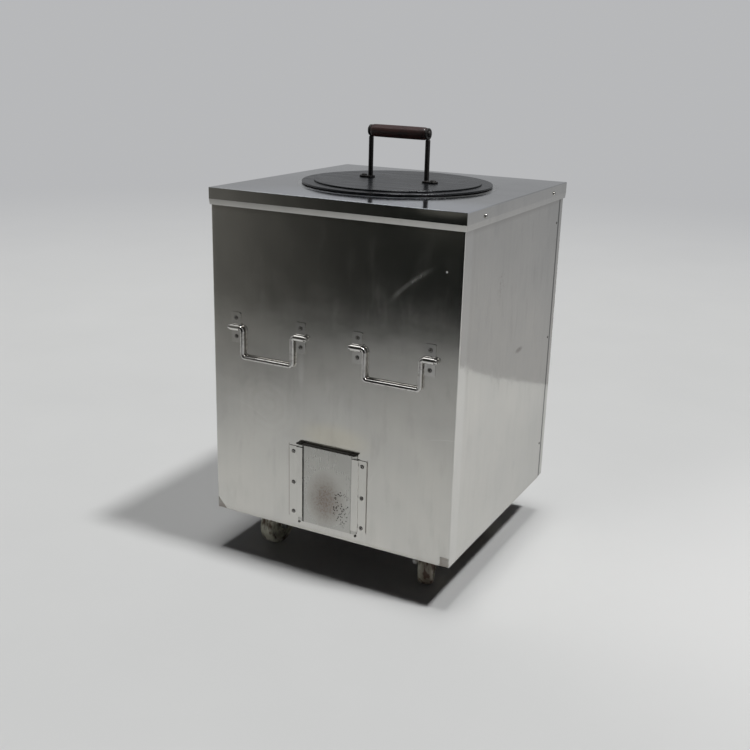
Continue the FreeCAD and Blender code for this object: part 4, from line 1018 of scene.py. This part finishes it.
RIVET_STEPS = 28
RIVET_SHANK = 0.0024
BAIL_X = 0.152
CLIP_X = 0.083
BAIL_HEIGHT = 0.552
CLIP_RIVET_RISE = 0.0212
RAIL_RIVETS = (0.145, 0.216, 0.290)
RAIL_RIVET_X = 0.0865
STOP_X = 0.072
STOP_HEIGHT = 0.122
SEAM_RIVET_Y = 0.256
SEAM_RIVETS = (0.201, 0.480, 0.760)
RIVET_BRIGHT = (0.50, 0.49, 0.47)
RIVET_TARNISH = (0.22, 0.205, 0.185)
RIVET_DIRT_AND_SHADE = (0.02, 0.016, 0.013)
TO_SIDE = {"front": Matrix.Rotation(math.radians(90), 4, "X"),
           "rear": Matrix.Rotation(math.radians(-90), 4, "X"),
           "right": Matrix.Rotation(math.radians(90), 4, "Y"),
           "left": Matrix.Rotation(math.radians(-90), 4, "Y")}


def rivet(name, radius, rise):
    """A set rivet about Z: dome, crimped ring, pit with the pin's stub, shank and tail."""
    pit = radius * 0.42
    piece = turned(name, [
        (0, -0.0043), (RIVET_SHANK * 1.25, -0.0043), (RIVET_SHANK * 1.3, -0.0032),
        (RIVET_SHANK, -0.003), (RIVET_SHANK, 0), (radius * 0.96, 0), (radius, rise * 0.16),
        (radius * 0.94, rise * 0.45), (radius * 0.80, rise * 0.78), (radius * 0.62, rise * 0.96),
        (pit * 1.25, rise), (pit, rise * 0.93), (pit * 0.9, rise * 0.10),
        (pit * 0.5, rise * 0.08), (pit * 0.35, rise * 0.30), (0, rise * 0.35)], RIVET_STEPS)
    # Painted dark: the pit with dirt and painted shade, the dome's outer slope with dirt and a
    # painted dark reflection.
    shares = piece.data.attributes.new("dirt", "FLOAT", "POINT")
    for corner, share in zip(piece.data.vertices, shares.data):
        reach = math.hypot(corner.co.x, corner.co.y)
        if corner.co.z > 0 and reach < pit * 0.95:
            share.value = 0.9
        elif corner.co.z > -1e-6 and reach > radius * 0.78:
            share.value = 0.85
    return piece


def spread(name, pattern, places):
    """Copy a pattern piece to each place and join the copies."""
    copies = [copied(name, pattern) for _ in places]
    for copy, place in zip(copies, places):
        copy.data.transform(place)
    return joined(name, copies)


def put_away(*patterns):
    """Delete the patterns and tools that copies were made with."""
    for pattern in patterns:
        bpy.data.objects.remove(pattern)


rivet_steel = Finish("rivet_steel", Metallic=1.0)
tarnish = rivet_steel.above(rivet_steel.grain(0.0025, 4), 0.40, 0.70)
dirt = rivet_steel.node("Attribute", {"attribute_name": "dirt"}, out="Fac")
rivet_steel.feed(
    Base_Color=rivet_steel.mix(
        dirt, rivet_steel.mix(tarnish, RIVET_BRIGHT, RIVET_TARNISH), RIVET_DIRT_AND_SHADE),
    Roughness=0.16 + tarnish * 0.2 + dirt * 0.4,
    Normal=rivet_steel.relief(rivet_steel.grain(0.001, 3), 0.00005))

face_rivet = rivet("face_rivet", 0.0047, 0.0020)
seam_rivet = rivet("seam_rivet", 0.0030, 0.0008)
stop_rivet = rivet("stop_rivet", 0.0030, 0.0026)


def set_at(side, x, y, z):
    """Turn a pattern's head to a side of the oven and move it to a place."""
    return Matrix.Translation((x, y, z)) @ TO_SIDE[side]


rivet_places = {f"clip_rivets_{end}": (face_rivet, [
    set_at(end, hand * BAIL_X + step * CLIP_X, sign * (casing_high.x + SHEET),
           BAIL_HEIGHT + rise * CLIP_RIVET_RISE)
    for hand in (-1, 1) for step in (-1, 1) for rise in (-1, 1)]) for end, sign in ENDS}
rivet_places["rail_rivets"] = (face_rivet, [
    set_at("front", hand * RAIL_RIVET_X, casing_low.y - SHEET, rise)
    for hand in (-1, 1) for rise in RAIL_RIVETS])
rivet_places["door_stops"] = (stop_rivet, [
    set_at("front", hand * STOP_X, casing_low.y, STOP_HEIGHT) for hand in (-1, 1)])
rivet_places["seam_rivets"] = (seam_rivet, [
    set_at(side, hand * casing_high.x, SEAM_RIVET_Y, rise)
    for side, hand in HANDS for rise in SEAM_RIVETS])
for node, (pattern, places) in rivet_places.items():
    heads = fit(spread(f"{node}_set", pattern, places), "oven", "rivet_steel", node, smooth=40)
    rivet_steel.give(heads.name)
put_away(face_rivet, seam_rivet, stop_rivet)


# ---- bail handles and strap clips -----------------------------------------------------
# Each bail is a polished 10 mm stainless rod bent four times. Two strips pressed round it
# and riveted to the panel let it swing up.

ROD_RADIUS = 0.005
ROD_SIDES = 28
ROD_BEND = 0.0072
BEND_STEPS = 9
ROD_END_ROUND = 0.0012
HALF_GRIP = 0.064
HALF_LENGTH = 0.101
BAIL_DROP = 0.066
STANDOFF = 0.0058
CLIP_HALF_HEIGHT = 0.034
CLIP_WIDTH = 0.0235
CROWN_RADIUS = 0.0069
CROWN_STEPS = 16
ROD_BRIGHT = (0.60, 0.59, 0.575)
ROD_SCUFFED = (0.28, 0.26, 0.235)
CLIP_TINT = (0.70, 0.695, 0.68)


def bent_rod(name):
    """Run a rod from its left end through its four bends, along X at the hinge's height."""
    bpy.ops.object.select_all(action="DESELECT")
    bpy.ops.mesh.primitive_circle_add(vertices=ROD_SIDES, radius=ROD_RADIUS, fill_type="NGON",
                                      location=(-HALF_LENGTH, 0, 0),
                                      rotation=(0, math.radians(90), 0))
    piece = bpy.context.object
    piece.name = name
    bpy.ops.object.transform_apply(location=True, rotation=True, scale=True)
    bpy.ops.object.mode_set(mode="EDIT")
    bpy.ops.mesh.select_all(action="SELECT")
    quarter = math.pi / 2
    inner, outer, low = HALF_GRIP - ROD_BEND, HALF_GRIP + ROD_BEND, ROD_BEND - BAIL_DROP
    stub = (HALF_LENGTH - outer, 0, 0)
    fall = (0, 0, low + ROD_BEND)
    run(stub)
    for centre, angle, step in (((-outer, 0, -ROD_BEND), quarter, fall),
                                ((-inner, 0, low), -quarter, (2 * inner, 0, 0)),
                                ((inner, 0, low), -quarter, (0, 0, -fall[2])),
                                ((outer, 0, -ROD_BEND), quarter, stub)):
        bpy.ops.mesh.spin(steps=BEND_STEPS, angle=angle, center=centre, axis=(0, -1, 0))
        run(step)
    pick(lambda place: abs(place.x) > HALF_LENGTH - TOUCHING)
    bpy.ops.mesh.bevel(offset=ROD_END_ROUND, segments=4, affect="EDGES")
    bpy.ops.mesh.select_all(action="SELECT")
    bpy.ops.mesh.normals_make_consistent(inside=False)
    bpy.ops.object.mode_set(mode="OBJECT")
    return piece


def pressed_clip(name):
    """A strip pressed over the rod, with a flat flange each way against a panel at +Y."""
    foot = STANDOFF - SHEET
    piece = draw(name, [(0, foot, -CLIP_HALF_HEIGHT), (0, foot, -CROWN_RADIUS),
                        (0, 0, -CROWN_RADIUS)])
    bpy.ops.mesh.spin(steps=CROWN_STEPS, angle=math.pi, center=(0, 0, 0), axis=(1, 0, 0))
    for step in ((0, foot, 0), (0, 0, CLIP_HALF_HEIGHT - CROWN_RADIUS)):
        bpy.ops.mesh.extrude_vertices_move(TRANSFORM_OT_translate={"value": step})
    weld()
    run((CLIP_WIDTH, 0, 0))
    bpy.ops.mesh.select_all(action="SELECT")
    bpy.ops.transform.translate(value=(-CLIP_WIDTH / 2, 0, 0))
    round_edges(lambda place: abs(place.y - foot) < 1e-5 and abs(place.x) < 1e-5
                and abs(abs(place.z) - CROWN_RADIUS) < 1e-5, SHEET)
    round_corners(lambda place: abs(place.z) > CLIP_HALF_HEIGHT - TOUCHING, STRIP_ROUND)
    face_out(Vector((0, -1, 0)))
    bpy.ops.object.mode_set(mode="OBJECT")
    thicken(piece)
    ease(piece, STRIP_EDGE)
    only(piece)
    bpy.ops.object.modifier_apply(modifier="sheet")
    bpy.ops.object.modifier_apply(modifier="eased")
    return piece


polished = Finish("polished_rod", Metallic=1.0)
scuff = polished.above(polished.grain(0.006, 5), 0.45, 0.75)
polished.feed(
    Base_Color=polished.mix(scuff * 0.7, ROD_BRIGHT, ROD_SCUFFED),
    Roughness=0.05 + scuff * 0.10,
    Normal=polished.relief(polished.grain(0.012, 3), 0.0002))

pressed = stainless("pressed_clip_steel", "Z", CLIP_TINT, 0.06)
pressed.feed(Base_Color=pressed.colour, Roughness=pressed.gloss, Normal=pressed.surface)

rod = bent_rod("bent_rod")
clip = pressed_clip("pressed_clip")
for end, sign in ENDS:
    about = Matrix.Rotation(0 if sign < 0 else math.pi, 4, "Z")
    for side, hand in HANDS:
        hinge = Matrix.Translation((hand * BAIL_X, sign * (casing_high.x + STANDOFF), BAIL_HEIGHT))
        bail = fit(spread(f"bail_rod_{end}_{side}", rod, [hinge]), f"bail_{end}_{side}",
                   "polished_stainless", f"bail_{end}_{side}", smooth=40)
        strap = fit(spread(f"clip_straps_{end}_{side}", clip, [
            hinge @ Matrix.Translation((step * CLIP_X, 0, 0)) @ about for step in (-1, 1)]),
            "oven", "polished_stainless", f"clips_{end}_{side}", smooth=40)
        polished.give(bail.name)
        pressed.give(strap.name)
put_away(rod, clip)


# ---- top cap ------------------------------------------------------------------------
# A tray of stainless sheet, folded down all round and welded at its corners. The skirt's
# lower band is set in on the brake to grip the casing, and four screws hold it.

CAP_HOLE_RADIUS = 0.192
CAP_EDGE = 0.0014
SKIRT_CREASE = 0.0247
SKIRT_TUCK = 0.0012
CAP_HOLE_SIDES = 128
RINGS_ACROSS = 5
ROLLED_IN = 0.0023
RING_HAZE = (0.232, 0.218)
CAP_TINT = (0.645, 0.643, 0.625)
CAP_TOP_LIT = ((0.54, 0.55, 0.55), (0.66, 0.665, 0.665))
CAP_SHADED = ((0.44, 0.45, 0.445), (0.58, 0.585, 0.58))
CAP_PAINTED_GLARE_COLOUR = (0.80, 0.83, 0.88)
cap_low, cap_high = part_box("top_cap")
CAP_GLARE = ((0.10, -0.27, cap_high.z), (0.42, 0.16, 0.05))
CAP_SHADE = ((0.26, 0.08, cap_high.z), (0.22, 0.34, 0.05))
bpy.ops.object.select_all(action="DESELECT")
bpy.ops.mesh.primitive_plane_add(size=cap_high.x - cap_low.x, location=(0, 0, cap_high.z))
cap = bpy.context.object
cap.name = "cap_tray"
bpy.ops.object.transform_apply(location=True, rotation=True, scale=True)
bpy.ops.object.mode_set(mode="EDIT")
bpy.ops.mesh.delete(type="ONLY_FACE")
bpy.ops.mesh.select_all(action="SELECT")
bpy.ops.mesh.subdivide(number_cuts=CAP_HOLE_SIDES // 4 - 1)
bpy.ops.mesh.primitive_circle_add(vertices=CAP_HOLE_SIDES, radius=CAP_HOLE_RADIUS,
                                  location=(0, 0, cap_high.z))
bpy.ops.mesh.select_all(action="SELECT")
bpy.ops.mesh.bridge_edge_loops(number_cuts=RINGS_ACROSS)
rim_edge = cap_high.x - 1e-5
pick(lambda place: max(abs(place.x), abs(place.y)) > rim_edge, "EDGE")
run((0, 0, -SKIRT_CREASE))
run((0, 0, SKIRT_CREASE - (cap_high.z - cap_low.z)))
tucked = 1 - SKIRT_TUCK / cap_high.x
bpy.ops.transform.resize(value=(tucked, tucked, 1))
round_edges(lambda place: max(abs(place.x), abs(place.y)) > rim_edge
            and place.z > cap_high.z - 1e-5, CAP_EDGE)
face_out(Vector((0, 0, 1)))
thicken(cap)
fit(cap, "oven", "stainless_sheet", "top_cap", smooth=40)

cap_finish = stainless("cap_stainless", "X", CAP_TINT, 0.05)
on_top = cap_finish.above(cap_finish.z, cap_high.z - 0.003, cap_high.z - 0.001)
# The top's colour comes in lit and shaded copies: a painted glare across the front, a painted shade
# on the right, and cooler tints than the skirts as a painted reflection.
clear = cap_finish.mix(cap_finish.grain((0.12, 0.05, 0.1), 4), *CAP_TOP_LIT)
shaded = cap_finish.mix(cap_finish.grain((0.10, 0.03, 0.1), 4), *CAP_SHADED)
top_painted_light = cap_finish.mix(cap_finish.patch(*CAP_GLARE, 0.2), cap_finish.mix(
    cap_finish.patch(*CAP_SHADE, 0.2), clear, shaded), CAP_PAINTED_GLARE_COLOUR)
ring_haze = cap_finish.above(cap_finish.distance((0, 0, cap_high.z)), *RING_HAZE) * on_top
rolled = cap_finish.node("MapRange", sockets={
    "Value": cap_finish.z, "From Min": cap_low.z, "From Max": cap_high.z - SKIRT_CREASE})
cap_finish.feed(Base_Color=cap_finish.mix(on_top, cap_finish.colour, top_painted_light),
                Roughness=cap_finish.gloss + ring_haze * 0.22,
                Normal=cap_finish.relief(rolled, ROLLED_IN, cap_finish.surface))
cap_finish.give(cap.name)

SCREW_Y = 0.209
SCREW_DROP = 0.0174
SCREW_TURN = 0.7
SLOT_REACH = 0.0022
SLOT_HALF = 0.0004
SLOT_FOOT = 0.0014
SLOT_TOP = 0.004
screw_head = turned("screw_head", [
    (0, -0.012), (0.0018, -0.0115), (0.0025, -0.010), (0.0025, 0), (0.0044, 0), (0.0045, 0.0008),
    (0.0043, 0.0015), (0.0038, 0.0022), (0.0029, 0.0027), (0.0016, 0.0030), (0, 0.0030)], 32)
slot_tool = joined("slot_tool", [
    block("slot_bar", (-along, -over, SLOT_FOOT), (along, over, SLOT_TOP))
    for along, over in ((SLOT_REACH, SLOT_HALF), (SLOT_HALF, SLOT_REACH))])
cut(screw_head, slot_tool, overlapping=True)
bpy.context.view_layer.objects.active = screw_head
bpy.ops.object.modifier_apply(modifier="cut")
screws = fit(spread("cap_screw_heads", screw_head, [
    set_at(side, hand * cap_high.x, step * SCREW_Y, cap_high.z - SCREW_DROP)
    @ Matrix.Rotation(hand * step * SCREW_TURN, 4, "Z")
    for side, hand in HANDS for step in (-1, 1)]), "oven", "rivet_steel", "cap_screws", smooth=40)
rivet_steel.give(screws.name)
put_away(screw_head, slot_tool)


# ---- mouth ring and lid ---------------------------------------------------------------
# Both discs are flame-cut black steel plate. The ring closes the gap round the clay rim and
# the lid lies loose on it. Oil and smoke have left them smooth and dark.

DISC_STEPS = 160
RING_HOLE = 0.152
DISC_EDGE = 0.0007
BLACK_DRY = (0.004, 0.005, 0.007)
BLACK_OILED = (0.017, 0.019, 0.022)
BLACK_BARE = (0.07, 0.058, 0.050)


def disc(name, low, high, outer, inner):
    """A flat disc with filed edges, and a hole when it has an inner radius."""
    if inner:
        return turned(name, [
            (inner, low + DISC_EDGE), (inner, high - DISC_EDGE), (inner + DISC_EDGE, high),
            (outer - DISC_EDGE, high), (outer, high - DISC_EDGE), (outer, low + DISC_EDGE),
            (outer - DISC_EDGE, low), (inner + DISC_EDGE, low), (inner, low + DISC_EDGE)],
            DISC_STEPS)
    return turned(name, [(0, high), (outer / 2, high), (outer - DISC_EDGE, high),
                         (outer, high - DISC_EDGE), (outer, low + DISC_EDGE),
                         (outer - DISC_EDGE, low), (outer / 2, low), (0, low)], DISC_STEPS)


ring_low, ring_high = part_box("mouth_ring")
ring = fit(disc("ring_plate", ring_low.z, ring_high.z, ring_high.x, RING_HOLE),
           "mouth_ring", "black_steel", "mouth_ring")
lid_low, lid_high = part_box("lid_disc")
lid = disc("lid_plate", lid_low.z, lid_high.z, lid_high.x, 0)
lid.location.y = (lid_low.y + lid_high.y) / 2
fit(lid, "lid", "black_steel", "lid_disc")
black = Finish("black_steel", Specular_IOR_Level=0.42)
oiled = black.grain(0.04, 5)
bare = black.above(black.grain(0.02, 6), 0.62, 0.80)
wiping = black.grain((0.16, 0.007, 0.1), 4)
black.feed(
    Base_Color=black.mix(bare, black.mix(oiled, BLACK_DRY, BLACK_OILED), BLACK_BARE),
    Metallic=0.35 + bare * 0.3,
    Roughness=0.10 + oiled * 0.12 + wiping * 0.24 + bare * 0.2,
    Normal=black.relief(black.grain(0.06, 3), 0.0008))
black.give(ring.name, lid.name)


# ---- lid handle -----------------------------------------------------------------------
# Two forged round bars, each with a palm riveted to the lid and an eye at the top. A turned
# hardwood grip is drawn between the eyes on a rod with a dome nut at each end.

LID_TURN = math.radians(-5)
LID_SHIFT = 0.003
LEG_X = 0.074
LEG_RADIUS = 0.0055
LEG_LENGTH = 0.090
LEG_MIDDLE = 0.047
GRIP_HEIGHT = 0.1054
EYE_RADIUS = 0.0125
EYE_THICKNESS = 0.005
PALM_REACH = 0.017
PALM_WIDTH = 0.022
PALM_THICKNESS = 0.004
FORGE_GRAIN = 0.0007
FORGED_DARK = (0.010, 0.010, 0.011)
FORGED_BROWN = (0.042, 0.036, 0.033)
lid_turn = Matrix.Translation((0, LID_SHIFT, lid_high.z)) @ Matrix.Rotation(LID_TURN, 4, "Z")

black_forged = Finish("forged_black")
fire_scale = black_forged.grain(0.006, 6)
black_forged.feed(
    Base_Color=black_forged.mix(fire_scale, FORGED_DARK, FORGED_BROWN),
    Metallic=0.3 + fire_scale * 0.3,
    Roughness=0.30 + fire_scale * 0.3,
    Normal=black_forged.relief(black_forged.grain(0.004, 5), 0.0006))

for side, hand in HANDS:
    bpy.ops.object.select_all(action="DESELECT")
    bpy.ops.mesh.primitive_cylinder_add(vertices=24, radius=LEG_RADIUS, depth=LEG_LENGTH,
                                        location=(hand * LEG_X, 0, LEG_MIDDLE))
    bar = bpy.context.object
    bpy.ops.mesh.primitive_cylinder_add(vertices=40, radius=EYE_RADIUS, depth=EYE_THICKNESS,
                                        location=(hand * LEG_X, 0, GRIP_HEIGHT),
                                        rotation=(0, math.radians(90), 0))
    eye = bpy.context.object
    heel = LEG_X - LEG_RADIUS
    toe = LEG_X + PALM_REACH
    palm = block("palm", (min(hand * heel, hand * toe), -PALM_WIDTH / 2, 0.0001),
                 (max(hand * heel, hand * toe), PALM_WIDTH / 2, PALM_THICKNESS))
    bpy.ops.mesh.primitive_cylinder_add(vertices=40, radius=PALM_WIDTH / 2, depth=PALM_THICKNESS,
                                        location=(hand * toe, 0, PALM_THICKNESS / 2))
    round_toe = bpy.context.object
    leg = joined(f"forged_leg_{side}", [bar, eye, palm, round_toe])
    bpy.ops.object.transform_apply(location=True, rotation=True, scale=True)
    forge = leg.modifiers.new("forge", "REMESH")
    forge.mode = "VOXEL"
    forge.voxel_size = FORGE_GRAIN
    hammer = leg.modifiers.new("hammer", "SMOOTH")
    hammer.iterations = 4
    leg.matrix_world = lid_turn @ leg.matrix_world
    fit(leg, "lid", "black_steel", f"lid_leg_{side}", smooth=60)
    black_forged.give(leg.name)

GRIP_HALF = LEG_X - EYE_THICKNESS / 2
WOOD_FIGURE = ((0.018, 0.004, 0.003), (0.060, 0.012, 0.009))
WOOD_CHAR = (0.004, 0.003, 0.003)
WOOD_PORES = (0.05, 0.0035, 0.0035)
grip = turned("turned_grip", [
    (0.0032, -GRIP_HALF), (0.0085, -GRIP_HALF), (0.0112, -GRIP_HALF + 0.0008),
    (0.0128, -GRIP_HALF + 0.0026), (0.0136, -GRIP_HALF + 0.0055), (0.0138, -GRIP_HALF + 0.012),
    (0.0139, -0.045), (0.014, 0), (0.0139, 0.045), (0.0138, GRIP_HALF - 0.012),
    (0.0136, GRIP_HALF - 0.0055), (0.0128, GRIP_HALF - 0.0026), (0.0112, GRIP_HALF - 0.0008),
    (0.0085, GRIP_HALF), (0.0032, GRIP_HALF), (0.0032, -GRIP_HALF)], 64)
grip.matrix_world = (lid_turn @ Matrix.Translation((0, 0, GRIP_HEIGHT))
                     @ Matrix.Rotation(math.radians(90), 4, "Y"))
fit(grip, "lid", "grip_wood", "lid_grip", smooth=40)

wood = Finish("dark_hardwood", Coat_Roughness=0.12)
turned_back = wood.node("Mapping", {"vector_type": "TEXTURE"},
                        {"Vector": wood.place, "Rotation": (0, 0, LID_TURN)})
along_grain = wood.node("VectorMath", {"operation": "DIVIDE"}, {0: turned_back, 1: WOOD_PORES})
figure = wood.node("TexNoise", sockets={"Vector": along_grain, "Scale": 1.0, "Detail": 5.0})
char = wood.above(wood.grain(0.03, 4), 0.45, 0.75)
wood.feed(
    Base_Color=wood.mix(char * 0.7, wood.mix(figure, *WOOD_FIGURE), WOOD_CHAR),
    Roughness=0.34 + figure * 0.16,
    Coat_Weight=0.12 - char * 0.1,
    Normal=wood.relief(figure, 0.0003))
wood.give(grip.name)

dome_nut = turned("dome_nut", [
    (0, 0.003), (0.003, 0.003), (0.003, 0), (0.0064, 0), (0.0065, 0.0012), (0.0061, 0.0024),
    (0.0052, 0.0034), (0.0038, 0.0041), (0.0020, 0.0044), (0, 0.0045)], 32)
nut_x = LEG_X + EYE_THICKNESS / 2
nuts = fit(spread("grip_dome_nuts", dome_nut, [
    lid_turn @ Matrix.Translation((hand * nut_x, 0, GRIP_HEIGHT)) @ TO_SIDE[side]
    for side, hand in HANDS]), "lid", "black_steel", "grip_nuts", smooth=40)
palm_rivet = turned("palm_rivet", [
    (0, -0.0095), (0.0044, -0.0095), (0.005, -0.0088), (0.005, -0.007), (0.003, -0.007), (0.003, 0),
    (0.0064, 0), (0.0065, 0.0008), (0.0060, 0.0018), (0.0048, 0.0027), (0.0028, 0.0033),
    (0, 0.0035)], 32)
rivets = fit(spread("palm_rivet_heads", palm_rivet, [
    lid_turn @ Matrix.Translation((hand * (LEG_X + PALM_REACH), 0, PALM_THICKNESS))
    for hand in (-1, 1)]), "lid", "black_steel", "foot_rivets", smooth=40)
black_forged.give(nuts.name, rivets.name, "grip_rod")
put_away(dome_nut, palm_rivet)
